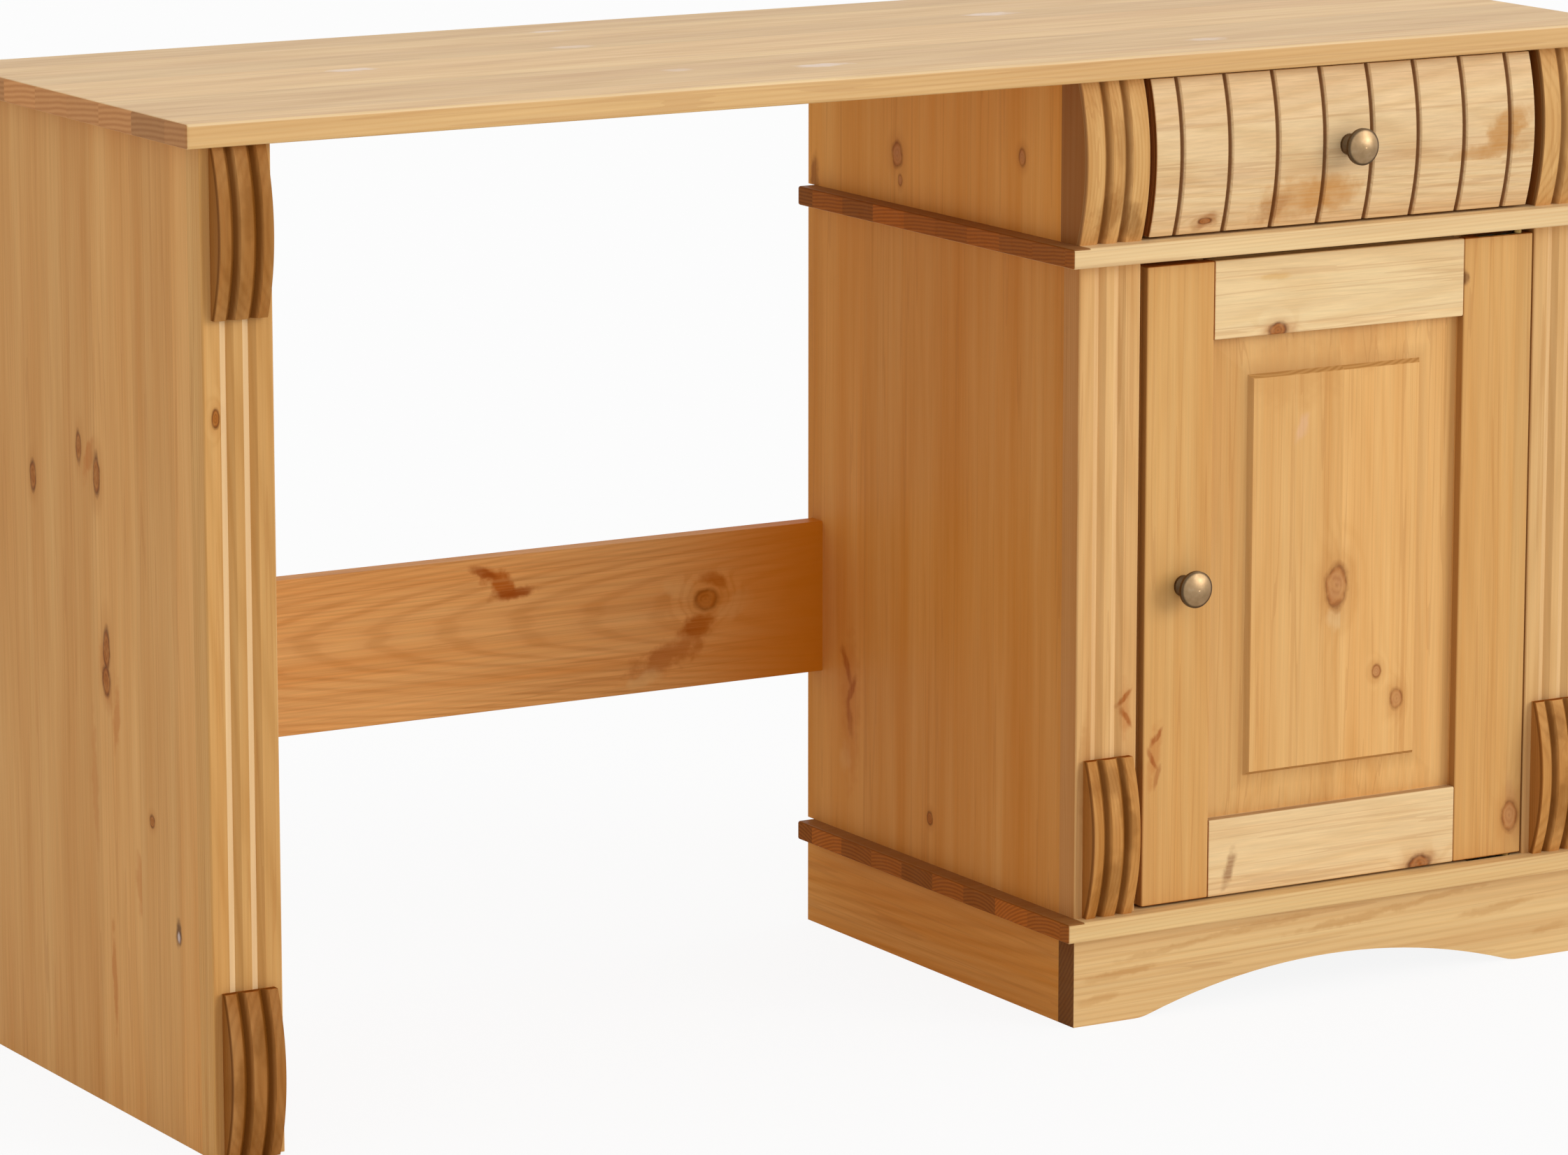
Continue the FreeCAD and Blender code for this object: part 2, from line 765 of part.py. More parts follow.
frame_left = door_left + knob_stile_width
frame_right = door_right - hinge_stile_width
frame_low = door_low + door_rail_width
frame_high = door_high - door_rail_width
groove_rear = door_back - panel_groove_back
groove_front = groove_rear - panel_tongue_thick - 2 * panel_play
panel_front = groove_front + panel_play
panel_rear = groove_rear - panel_play
knob_hole_in_door = knob_hole(door_knob_place, door_thick)
panel_slot = box(frame_left - panel_groove_depth, frame_right + panel_groove_depth, groove_front, groove_rear,
                 frame_low - panel_groove_depth, frame_high + panel_groove_depth)
tenon_end = box(frame_left - panel_groove_depth, frame_right + panel_groove_depth, face_y, door_back,
                frame_low - panel_groove_depth, frame_high + panel_groove_depth)
stile_slot = box(frame_left - panel_groove_depth, frame_right + panel_groove_depth, groove_front, groove_rear,
                 door_low, door_high)


def door_stile(x_low, x_high):
    board = eased(box(x_low, x_high, face_y, door_back, door_low, door_high), door_round)
    return cut_all(board, [stile_slot, knob_hole_in_door] + door_leaf_mortises + door_screw_holes)


def door_rail(z_low):
    """A rail with a stub tenon at each end, in the stile's groove."""
    board = eased(box(frame_left, frame_right, face_y, door_back, z_low, z_low + door_rail_width), door_round)
    reach = panel_groove_depth - tenon_play
    inset = 2 * door_round
    tenon = box(frame_left - reach, frame_right + reach, panel_front, panel_rear,
                z_low + inset, z_low + door_rail_width - inset)
    return board.cut(panel_slot).fuse(tenon.cut(tenon_end)).removeSplitter()


def door_panel():
    """A panel with a tongue all round, a shallow bevel, a steep step and a flat raised field."""
    edge = panel_groove_depth - panel_edge_play
    tongue = box(frame_left - edge, frame_right + edge, panel_front, panel_rear,
                 frame_low - edge, frame_high + edge)

    def ring(side_inset, end_inset, y):
        x_low = frame_left + side_inset
        x_high = frame_right - side_inset
        z_low = frame_low + end_inset
        z_high = frame_high - end_inset
        corners = [Vec(x_low, y, z_low), Vec(x_high, y, z_low), Vec(x_high, y, z_high), Vec(x_low, y, z_high)]
        return Part.makePolygon(corners + corners[:1])

    field_y = face_y + field_recess
    foot = ring(bevel_inset, bevel_inset, panel_front)
    side_foot = field_side_margin - field_step_width
    end_foot = field_end_margin - field_step_width
    step_foot = ring(side_foot, end_foot, field_y + field_step)
    field = ring(field_side_margin, field_end_margin, field_y)
    raised = Part.makeLoft([foot, step_foot, field], True, True)
    return tongue.fuse(raised).removeSplitter()


# Pivot hinges and catch

def leaf_plan(z_low, z_high, grow=0.0):
    """A leaf seen from above: a strip with a round end about the hinge axis."""
    half = leaf_width / 2 + grow
    strip = box(hinge_x - leaf_length - grow, hinge_x, hinge_y - half, hinge_y + half, z_low, z_high)
    nose = rod(Vec(hinge_x, hinge_y, z_low), Vec(hinge_x, hinge_y, z_high), half)
    return strip.fuse(nose).removeSplitter()


# Each hinge: the board's face, the way into that board, and the gap to the door's end
hinge_levels = ((mid_low, 1, door_head_gap), (bottom_top, -1, door_foot_gap))
hinge_screw_offsets = (hinge_screw_first, hinge_screw_first + hinge_screw_pitch)


def hinge_screw(x_offset, seat_z, way, grow=0.0):
    place = Vec(hinge_x - x_offset, hinge_y, seat_z)
    return wood_screw(place, Vec(0, 0, way), hinge_screw_length, hinge_screw_radius, hinge_screw_head, grow)


def hinge_screw_set(in_door, grow=0.0):
    """Two screws in each leaf, driven from the gap into the door's end or into the board."""
    screws = []
    for level, way, gap in hinge_levels:
        seat_z = level - way * gap if in_door else level
        turn = -way if in_door else way
        for x_offset in hinge_screw_offsets:
            screws.append(hinge_screw(x_offset, seat_z, turn, grow))
    return screws


case_screw_holes = hinge_screw_set(False, screw_play)
door_screw_holes = hinge_screw_set(True, screw_play)
case_leaf_mortises = []
door_leaf_mortises = []
for level, way, gap in hinge_levels:
    case_leaf_mortises.append(leaf_plan(*span(level, level + way * (leaf_thick + leaf_play)), leaf_play))
    door_face = level - way * gap
    mortise_floor = door_face - way * (leaf_thick + leaf_play)
    pocket_end = mortise_floor - way * (pivot_tail + leaf_thick)
    pocket = rod(Vec(hinge_x, hinge_y, mortise_floor), Vec(hinge_x, hinge_y, pocket_end), washer_radius)
    door_leaf_mortises.append(leaf_plan(*span(door_face, mortise_floor), leaf_play))
    door_leaf_mortises.append(pocket)


def hinge_case_leaves():
    """Leaves in the boards, each with a washer that carries the door and a pin."""
    leaves = []
    for level, way, gap in hinge_levels:
        plate = leaf_plan(*span(level, level + way * leaf_thick))
        washer_end = level - way * (gap - washer_play)
        pin_end = level - way * (gap + leaf_thick + pivot_tail)
        washer = rod(Vec(hinge_x, hinge_y, level), Vec(hinge_x, hinge_y, washer_end), washer_radius)
        pin = rod(Vec(hinge_x, hinge_y, level), Vec(hinge_x, hinge_y, pin_end), pivot_radius)
        leaf = plate.fuse([washer, pin]).removeSplitter()
        leaves.append(cut_all(leaf, case_screw_holes))
    return together(leaves)


def hinge_door_leaves():
    """Leaves in the door's ends, each with the hole that turns on the pin."""
    leaves = []
    hole_radius = pivot_radius + pivot_clearance
    for level, way, gap in hinge_levels:
        door_face = level - way * gap
        plate = leaf_plan(*span(door_face, door_face - way * leaf_thick))
        hole_end = Vec(hinge_x, hinge_y, door_face - way * 2 * leaf_thick)
        hole = rod(Vec(hinge_x, hinge_y, level), hole_end, hole_radius)
        leaves.append(cut_all(plate, door_screw_holes + [hole]))
    return together(leaves)


catch_left = door_left + catch_offset
catch_front = door_back + catch_plate_thick + catch_gap


def catch_body():
    """The catch under the mid board, just behind the door."""
    return box(catch_left, catch_left + catch_length, catch_front, catch_front + catch_depth,
               mid_low - catch_height, mid_low)


def catch_plate():
    """The strike plate on the back of the door."""
    return box(catch_left + catch_plate_margin, catch_left + catch_length - catch_plate_margin,
               door_back, door_back + catch_plate_thick, mid_low - catch_height, door_high - door_round)


# All the pieces, by name

nodes = {
    "desk_top": desk_top(),
    "leg_panel": leg_panel(),
    "leg_pilaster": pilaster(leg_left, 0, under_top),
    "leg_block_upper": pilaster_block(leg_left, under_top - block_height),
    "leg_block_lower": pilaster_block(leg_left, 0),
    "back_rail": back_rail(),
    "cabinet_side_left": cabinet_side(cabinet_left),
    "cabinet_side_right": cabinet_side(inner_right),
    "drawer_case_side_left": drawer_case_side(cabinet_left),
    "drawer_case_side_right": drawer_case_side(inner_right),
    "mid_board": ledge(mid_low, mid_bores),
    "bottom_board": ledge(plinth_height, bottom_bores),
    "back_panel": back_panel(),
    "cupboard_shelf": cupboard_shelf(),
    "shelf_pins": together([shelf_pin(*place) for place in pin_places]),
    "pilaster_left": pilaster(cabinet_left, bottom_top, mid_low),
    "pilaster_right": pilaster(opening_right, bottom_top, mid_low),
    "pilaster_block_left": pilaster_block(cabinet_left, bottom_top),
    "pilaster_block_right": pilaster_block(opening_right, bottom_top),
    "drawer_block_left": drawer_block(cabinet_left),
    "drawer_block_right": drawer_block(opening_right),
    "plinth_apron": plinth_apron(),
    "plinth_side_left": plinth_side(cabinet_left),
    "plinth_side_right": plinth_side(inner_right),
    "plinth_back": plinth_back(),
    "plinth_corner_blocks": plinth_corner_blocks(),
    "drawer_runner_left": drawer_runner(inner_left, guide_left, 1),
    "drawer_runner_right": drawer_runner(inner_right, guide_right, -1),
    "runner_screws": together([runner_screw(place, reach) for place, reach in runner_screw_places]),
    "top_screws": together([top_screw(place) for place in top_screw_places]),
    "mid_board_dowels": together([dowel.solid() for dowel in mid_dowels]),
    "bottom_board_dowels": together([dowel.solid() for dowel in bottom_dowels]),
    "desk_top_dowels": together([dowel.solid() for dowel in top_dowels]),
    "back_rail_dowels": together([dowel.solid() for dowel in rail_dowels]),
    "hinge_case_leaves": hinge_case_leaves(),
    "hinge_case_screws": together(hinge_screw_set(False)),
    "catch_body": catch_body(),
    "drawer_front": drawer_front(),
    "drawer_side_left": drawer_side(drawer_left),
    "drawer_side_right": drawer_side(drawer_inner_right),
    "drawer_back": drawer_back(),
    "drawer_bottom": drawer_bottom(),
    "drawer_stops": drawer_stops(),
    "drawer_dowels": together([dowel.solid() for dowel in drawer_dowels]),
    "drawer_knob": knob(drawer_knob_place),
    "drawer_knob_screw": knob_screw(drawer_knob_place, drawer_front_wall),
    "door_stile_left": door_stile(door_left, frame_left),
    "door_stile_right": door_stile(frame_right, door_right),
    "door_rail_top": door_rail(frame_high),
    "door_rail_bottom": door_rail(door_low),
    "door_panel": door_panel(),
    "door_knob": knob(door_knob_place),
    "door_knob_screw": knob_screw(door_knob_place, door_thick),
    "hinge_door_leaves": hinge_door_leaves(),
    "hinge_door_screws": together(hinge_screw_set(True)),
    "catch_plate": catch_plate(),
}
for cleat_name in cleat_spans:
    nodes[cleat_name] = cleat(cleat_name)

# The origin: under the middle of the outline, which runs from the drawer knob to the rear edge of the top
front_most = drawer_knob_place.y - knob_height
to_origin = Vec(-top_length / 2, -(front_most + rear_y) / 2, 0)

os.makedirs("parts", exist_ok=True)
for name, shape in nodes.items():
    shape.translate(to_origin)
    shape.exportStep("parts/" + name + ".step")
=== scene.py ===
import math

import bmesh
import bpy
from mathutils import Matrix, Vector


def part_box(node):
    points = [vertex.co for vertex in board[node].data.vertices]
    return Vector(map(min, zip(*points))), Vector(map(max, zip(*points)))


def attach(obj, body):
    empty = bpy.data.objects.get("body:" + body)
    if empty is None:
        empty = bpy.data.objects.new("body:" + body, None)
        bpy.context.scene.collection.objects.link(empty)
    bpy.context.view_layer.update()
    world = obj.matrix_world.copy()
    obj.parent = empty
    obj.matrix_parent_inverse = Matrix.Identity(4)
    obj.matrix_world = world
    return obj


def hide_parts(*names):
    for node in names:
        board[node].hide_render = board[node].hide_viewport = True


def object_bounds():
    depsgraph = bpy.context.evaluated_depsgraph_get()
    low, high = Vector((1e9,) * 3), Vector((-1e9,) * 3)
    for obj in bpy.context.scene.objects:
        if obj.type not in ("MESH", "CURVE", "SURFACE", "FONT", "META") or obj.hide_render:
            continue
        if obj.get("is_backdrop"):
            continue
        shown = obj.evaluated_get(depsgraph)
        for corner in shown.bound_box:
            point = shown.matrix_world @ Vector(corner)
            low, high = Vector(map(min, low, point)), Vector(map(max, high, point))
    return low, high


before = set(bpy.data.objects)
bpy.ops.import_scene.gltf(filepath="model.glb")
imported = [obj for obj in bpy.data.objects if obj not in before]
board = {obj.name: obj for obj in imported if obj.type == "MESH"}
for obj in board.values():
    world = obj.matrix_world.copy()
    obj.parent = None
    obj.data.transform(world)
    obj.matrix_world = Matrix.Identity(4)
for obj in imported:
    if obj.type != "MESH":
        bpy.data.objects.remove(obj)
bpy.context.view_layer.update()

MM = 0.001


def linear(hex_colour):
    """An sRGB hex value as linear red, green, blue and alpha."""
    parts = [int(hex_colour[i:i + 2], 16) / 255 for i in (1, 3, 5)]
    return tuple(c / 12.92 if c <= 0.04045 else ((c + 0.055) / 1.055) ** 2.4 for c in parts) + (1.0,)


def add(tree, kind, links=None, out=0, **settings):
    """Adds a node, sets its properties, fills its inputs with values or links, and gives an output."""
    made = tree.nodes.new(kind)
    for name, value in settings.items():
        setattr(made, name, value)
    for key, value in (links or {}).items():
        for item in value if isinstance(value, list) else [value]:
            if isinstance(item, bpy.types.NodeSocket):
                tree.links.new(item, made.inputs[key])
            else:
                made.inputs[key].default_value = item
    return made.outputs[out] if len(made.outputs) else None


def set_stops(colours, stops):
    """Gives a colour ramp its stops, (place, hex colour) from left to right."""
    elements = colours.node.color_ramp.elements
    while len(elements) < len(stops):
        elements.new(0.5)
    for element, (place, colour) in zip(elements, stops):
        element.position = place
        element.color = linear(colour)


def new_material(name):
    material = bpy.data.materials.new(name)
    material.use_nodes = True
    material.node_tree.nodes.clear()
    return material, material.node_tree


def dress(material, *names):
    """Gives CAD nodes a material of the scene's own."""
    for name in names:
        board[name].data.materials.clear()
        board[name].data.materials.append(material)


# Tones of pine: early wood, the even colour between, late wood
HONEY = ("#e1ae6e", "#d7a25f", "#c18744")
PILASTER = ("#e6b87c", "#daa96d", "#bf8747")
LEG_PILASTER = ("#dcab6b", "#cf9a5a", "#b27938")
PANEL = ("#e5b676", "#dca866", "#c68d49")
PALE = ("#f0d3a0", "#eac894", "#d6a96c")
DRAWER = ("#edcca0", "#e4c08e", "#cb9b60")
TOP = ("#e5bd82", "#dbb071", "#c49251")
# The pedestal's left sides have tones of their own, fitted to their colour in the kneehole's shade: painted shade,
# richer orange than the right sides' tone, and darker on the lower side
SHADED_SIDE = ("#da9e53", "#d09047", "#ba7831")
SHADED_BAY_SIDE = ("#eaae5b", "#e2a150", "#c98638")
END_PANEL = ("#e1ad6d", "#d79e5d", "#bf7f40")
RAIL = ("#e6ae68", "#dda160", "#bb7c38")
APRON = ("#eac68b", "#e2ba80", "#cb9a59")
BLOCK = ("#bd8749", "#a87138", "#7c4817")
LOW_BLOCK = ("#b27d45", "#a06a34", "#6b3d12")
SIDE_BLOCK = ("#d39c5a", "#c68a48", "#935b25")
LIGHT_BLOCK = ("#e2b475", "#d7a363", "#ad7233")
RAW = ("#e0bf92", "#d6b183", "#bd915f")
# Cut ends of boards: early wood, the even colour between, late wood
RED_ENDS = ("#a65a14", "#9a4f0c", "#8a4409")
TOP_ENDS = ("#c6884f", "#be7f47", "#b2733c")
PANEL_ENDS = ("#c9985a", "#c08e50", "#b28044")
DARK_ENDS = ("#85490f", "#7d430d", "#733c0a")
# Dark brown for the blocks' grooves: stain gathered there, with painted shade
GROOVE_STAIN_AND_SHADE = "#6e3d0c"
# Knots from the middle to the edge: dark red ones, and pale ones that were sanded clean
DARK_HEARTS = ("#7c400a", "#a85f1e", "#8e4a0e", "#ab6424", "#853f08", "#4f2300", "#703606")
PALE_HEARTS = ("#a5683a", "#c08553", "#b27443", "#bf8450", "#a9652f", "#7a3f12", "#94571f")


def past(letter, place):
    """How far a point lies past a plane across one of the axes."""
    def deep(tree, spot):
        side = add(tree, "ShaderNodeSeparateXYZ", {0: spot}, out=letter)
        return add(tree, "ShaderNodeMath", {0: side, 1: place}, operation="SUBTRACT")
    return deep


def looking(direction):
    """How squarely a face looks in a direction, with a millimetre for fully."""
    def deep(tree, spot):
        normal = spot.node.outputs["Normal"]
        return add(tree, "ShaderNodeVectorMath", {0: normal, 1: direction * MM}, out="Value",
                   operation="DOT_PRODUCT")
    return deep


# A face looks up where its normal rises more than this
LOOKS_UP = 0.5


def outside(low, high, axes, upward=False):
    """How far a point lies outside a rectangle between two corners, along some of the axes. With upward,
    only on faces that look up."""
    def deep(tree, spot):
        centre = (low + high) / 2
        half = (high - low) / 2
        sides = add(tree, "ShaderNodeSeparateXYZ", {0: spot}).node.outputs
        farthest = None
        for letter in axes:
            place = "XYZ".index(letter)
            off = add(tree, "ShaderNodeMath", {0: sides[letter], 1: centre[place]}, operation="SUBTRACT")
            off = add(tree, "ShaderNodeMath", {0: off}, operation="ABSOLUTE")
            off = add(tree, "ShaderNodeMath", {0: off, 1: half[place]}, operation="SUBTRACT")
            if farthest is None:
                farthest = off
            else:
                farthest = add(tree, "ShaderNodeMath", {0: farthest, 1: off}, operation="MAXIMUM")
        if upward:
            up = add(tree, "ShaderNodeSeparateXYZ", {0: spot.node.outputs["Normal"]}, out="Z")
            up = add(tree, "ShaderNodeMath", {0: up, 1: LOOKS_UP}, operation="SUBTRACT")
            farthest = add(tree, "ShaderNodeMath", {0: farthest, 1: up}, operation="MINIMUM")
        return farthest
    return deep


def under_bow(radius, axis_y, level):
    """How far a point lies under a bowed face, an arc about a level line."""
    def deep(tree, spot):
        centred = add(tree, "ShaderNodeVectorMath", {0: spot, 1: (0, axis_y, level)}, operation="SUBTRACT")
        flat = add(tree, "ShaderNodeVectorMath", {0: centred, 1: (0, 1, 1)}, operation="MULTIPLY")
        away = add(tree, "ShaderNodeVectorMath", {0: flat}, out="Value", operation="LENGTH")
        return add(tree, "ShaderNodeMath", {0: radius, 1: away}, operation="SUBTRACT")
    return deep


def cells(*sizes):
    """The scale of a pattern whose cells have these sizes, in metres."""
    return tuple(1 / size for size in sizes)


# Cells of pine's patterns: a fibre's width, drawn coarse enough to show, waves in the outlines of knots and
# clouds, patches in a knot, a soft band's length, and, along, across and through the board, calm stretches
# and resin threads
FIBRE_WIDTH = 1.923 * MM
OUTLINE_WAVE = 11.765 * MM
KNOT_PATCH = 9.091 * MM
BAND_LENGTH = 625 * MM
CALM_STRETCH = (454.5 * MM, 26.316 * MM, 26.316 * MM)
RESIN_THREAD = (909.1 * MM, 14.286 * MM, 14.286 * MM)
# Most of a noise lies between these
LOW, HIGH = 0.3, 0.7
# How far apart the piths of staves lie, where they lie on the whole, and how the trunk leans and stretches
PITH_SPREAD = (1.7, 0.07, 0.05)
PITH_PLACE = (0, -0.035, 0.02)
TRUNK_LEAN = (0, 0.35, 0.2)
TRUNK_STRETCH = (0.06, 1, 1)
# A wave texture of scale 1 has this many rings in a length of two pi
WAVE_RINGS = 20
# How far a knot pushes the grain aside, and how far outlines wander, in a knot's or cloud's own half sizes
KNOT_BEND = 5 * MM
KNOT_WANDER = 0.6
CLOUD_WANDER = 1.2
# How much the rings waver, and in how large waves against the rings
RING_WAVER = 5.0
WAVER_SCALE = 0.14
# Where a knot's halo and body fade and its bent grain runs straight again, in the knot's radius, where the
# patches in its body lie in their noise, and the shares of all these
HALO_REACH = (0.9, 2.6)
HALO_SHARE = 0.3
BODY_EDGE = (0.85, 1.25)
BODY_SHARE = 0.85
BEND_REACH = (0.4, 3.6)
PATCH_SPAN = (0.38, 0.58)
PATCH_SHARE = 0.65
# Where a cloud fades, in its own half sizes, and how the fibres break it up
CLOUD_EDGE = (0.4, 1.15)
GAP_SPAN = (0.3, 0.6)
GAP_SHARE = 0.6
# What is left of the rings in a calm stretch, and the swing of hue and richness over the soft bands
CALM_SHARE = 0.3
BAND_SPAN = (0.25, 0.75)
BAND_HUES = (0.494, 0.506)
BAND_RICHNESS = (1.05, 0.95)
# A resin thread's half width in its noise, and its share
THREAD_HALF = 0.012
THREAD_SHARE = 0.18
# How soon a face that turns to the end shows end grain, its share, its staves' shades and its roughness
END_TURN = 0.15
END_SHARE = 0.92
END_SHADES = (0.66, 1.3)
END_ROUGHNESS = 0.45
# Roughness of oiled pine, from its early to its late fibres
SATIN = (0.5, 0.4)
RESIN = "#a9682f"
HALO = "#b4702c"
HEART_RINGS = (0.0, 0.2, 0.4, 0.58, 0.76, 0.92, 1.0)
GRAIN_RELIEF = 0.1 * MM
METAL_RELIEF = 0.05 * MM


def blot(tree, whole, uneven, place, size, wander, turn=0.0):
    """How far a point lies from the middle of a spot with an uneven outline, in the spot's half sizes."""
    stray = (wander * size[0], wander * size[1], 0)
    middle = (place[0] + stray[0] / 2, place[1] + stray[1] / 2, 0)
    loose = add(tree, "ShaderNodeVectorMath", {0: uneven, 1: stray, 2: whole}, operation="MULTIPLY_ADD")
    centred = add(tree, "ShaderNodeMapping",
                  {"Vector": loose, "Location": middle, "Rotation": (0, 0, math.radians(turn)),
                   "Scale": (size[0], size[1], 1)}, vector_type="TEXTURE")
    flat = add(tree, "ShaderNodeVectorMath", {0: centred, 1: (1, 1, 0)}, operation="MULTIPLY")
    return add(tree, "ShaderNodeVectorMath", {0: flat}, out="Value", operation="LENGTH")


def knot_distance(tree, whole, uneven, knots):
    """How far a point lies from the nearest knot, in that knot's own radius."""
    nearest = None
    for along, across, radius, stretch in knots:
        away = blot(tree, whole, uneven, (along, across), (radius * stretch, radius), KNOT_WANDER)
        if nearest is None:
            nearest = away
        else:
            nearest = add(tree, "ShaderNodeMath", {0: nearest, 1: away}, operation="MINIMUM")
    return nearest


def trunk_rings(tree, local, luck, ring):
    """Rings round a pith that lies a little off each stave, so that faces show flames and ends show arcs."""
    trunk = add(tree, "ShaderNodeVectorMath", {0: luck, 1: PITH_SPREAD, 2: local}, operation="MULTIPLY_ADD")
    trunk = add(tree, "ShaderNodeMapping",
                {"Vector": trunk, "Location": PITH_PLACE, "Rotation": TRUNK_LEAN, "Scale": TRUNK_STRETCH})
    return add(tree, "ShaderNodeTexWave",
               {"Vector": trunk, "Scale": 2 * math.pi / (WAVE_RINGS * ring * MM), "Distortion": RING_WAVER,
                "Detail": 3.0, "Detail Scale": WAVER_SCALE, "Detail Roughness": 0.55},
               out="Fac", wave_type="RINGS", rings_direction="X", wave_profile="SIN")


def knots_over(tree, colour, whole, nearest, hearts):
    """Lays knots over a colour: a red brown body with faint rings, a broken dark edge and a browner halo."""
    halo = add(tree, "ShaderNodeMapRange",
               {0: nearest, 1: HALO_REACH[0], 2: HALO_REACH[1], 3: HALO_SHARE, 4: 0.0},
               interpolation_type="SMOOTHSTEP")
    colour = add(tree, "ShaderNodeMix", {0: halo, 6: colour, 7: linear(HALO)}, out=2, data_type="RGBA")
    heart = add(tree, "ShaderNodeValToRGB", {0: nearest})
    set_stops(heart, list(zip(HEART_RINGS, hearts)))
    body = add(tree, "ShaderNodeMapRange",
               {0: nearest, 1: BODY_EDGE[0], 2: BODY_EDGE[1], 3: BODY_SHARE, 4: 0.0})
    patchy = add(tree, "ShaderNodeTexNoise", {"Vector": whole, "Scale": 1 / KNOT_PATCH, "Detail": 2.0},
                 out="Fac")
    patchy = add(tree, "ShaderNodeMapRange",
                 {0: patchy, 1: PATCH_SPAN[0], 2: PATCH_SPAN[1], 3: PATCH_SHARE, 4: 1.0})
    body = add(tree, "ShaderNodeMath", {0: body, 1: patchy}, operation="MULTIPLY")
    return add(tree, "ShaderNodeMix", {0: body, 6: colour, 7: heart}, out=2, data_type="RGBA")


def stains_and_painted_light_over(tree, colour, spot, stains_and_painted_light):
    """Lays stain, painted shade and painted highlights over a colour: stain where it stayed in grooves, joints and
    corners, painted shade there too and in gaps, on ledges and on faces turned from the key light, and painted
    highlights on edges that face it. From first to full each gathers, and from last to clean it fades."""
    for deep, first, full, last, clean, share, hue in stains_and_painted_light:
        far = deep(tree, spot)
        mask = add(tree, "ShaderNodeMapRange", {0: far, 1: first * MM, 2: full * MM, 3: 0.0, 4: share},
                   interpolation_type="SMOOTHSTEP")
        fade = add(tree, "ShaderNodeMapRange", {0: far, 1: last * MM, 2: clean * MM, 3: 1.0, 4: 0.0})
        mask = add(tree, "ShaderNodeMath", {0: mask, 1: fade}, operation="MULTIPLY")
        colour = add(tree, "ShaderNodeMix", {0: mask, 6: colour, 7: linear(hue)}, out=2, data_type="RGBA")
    return colour


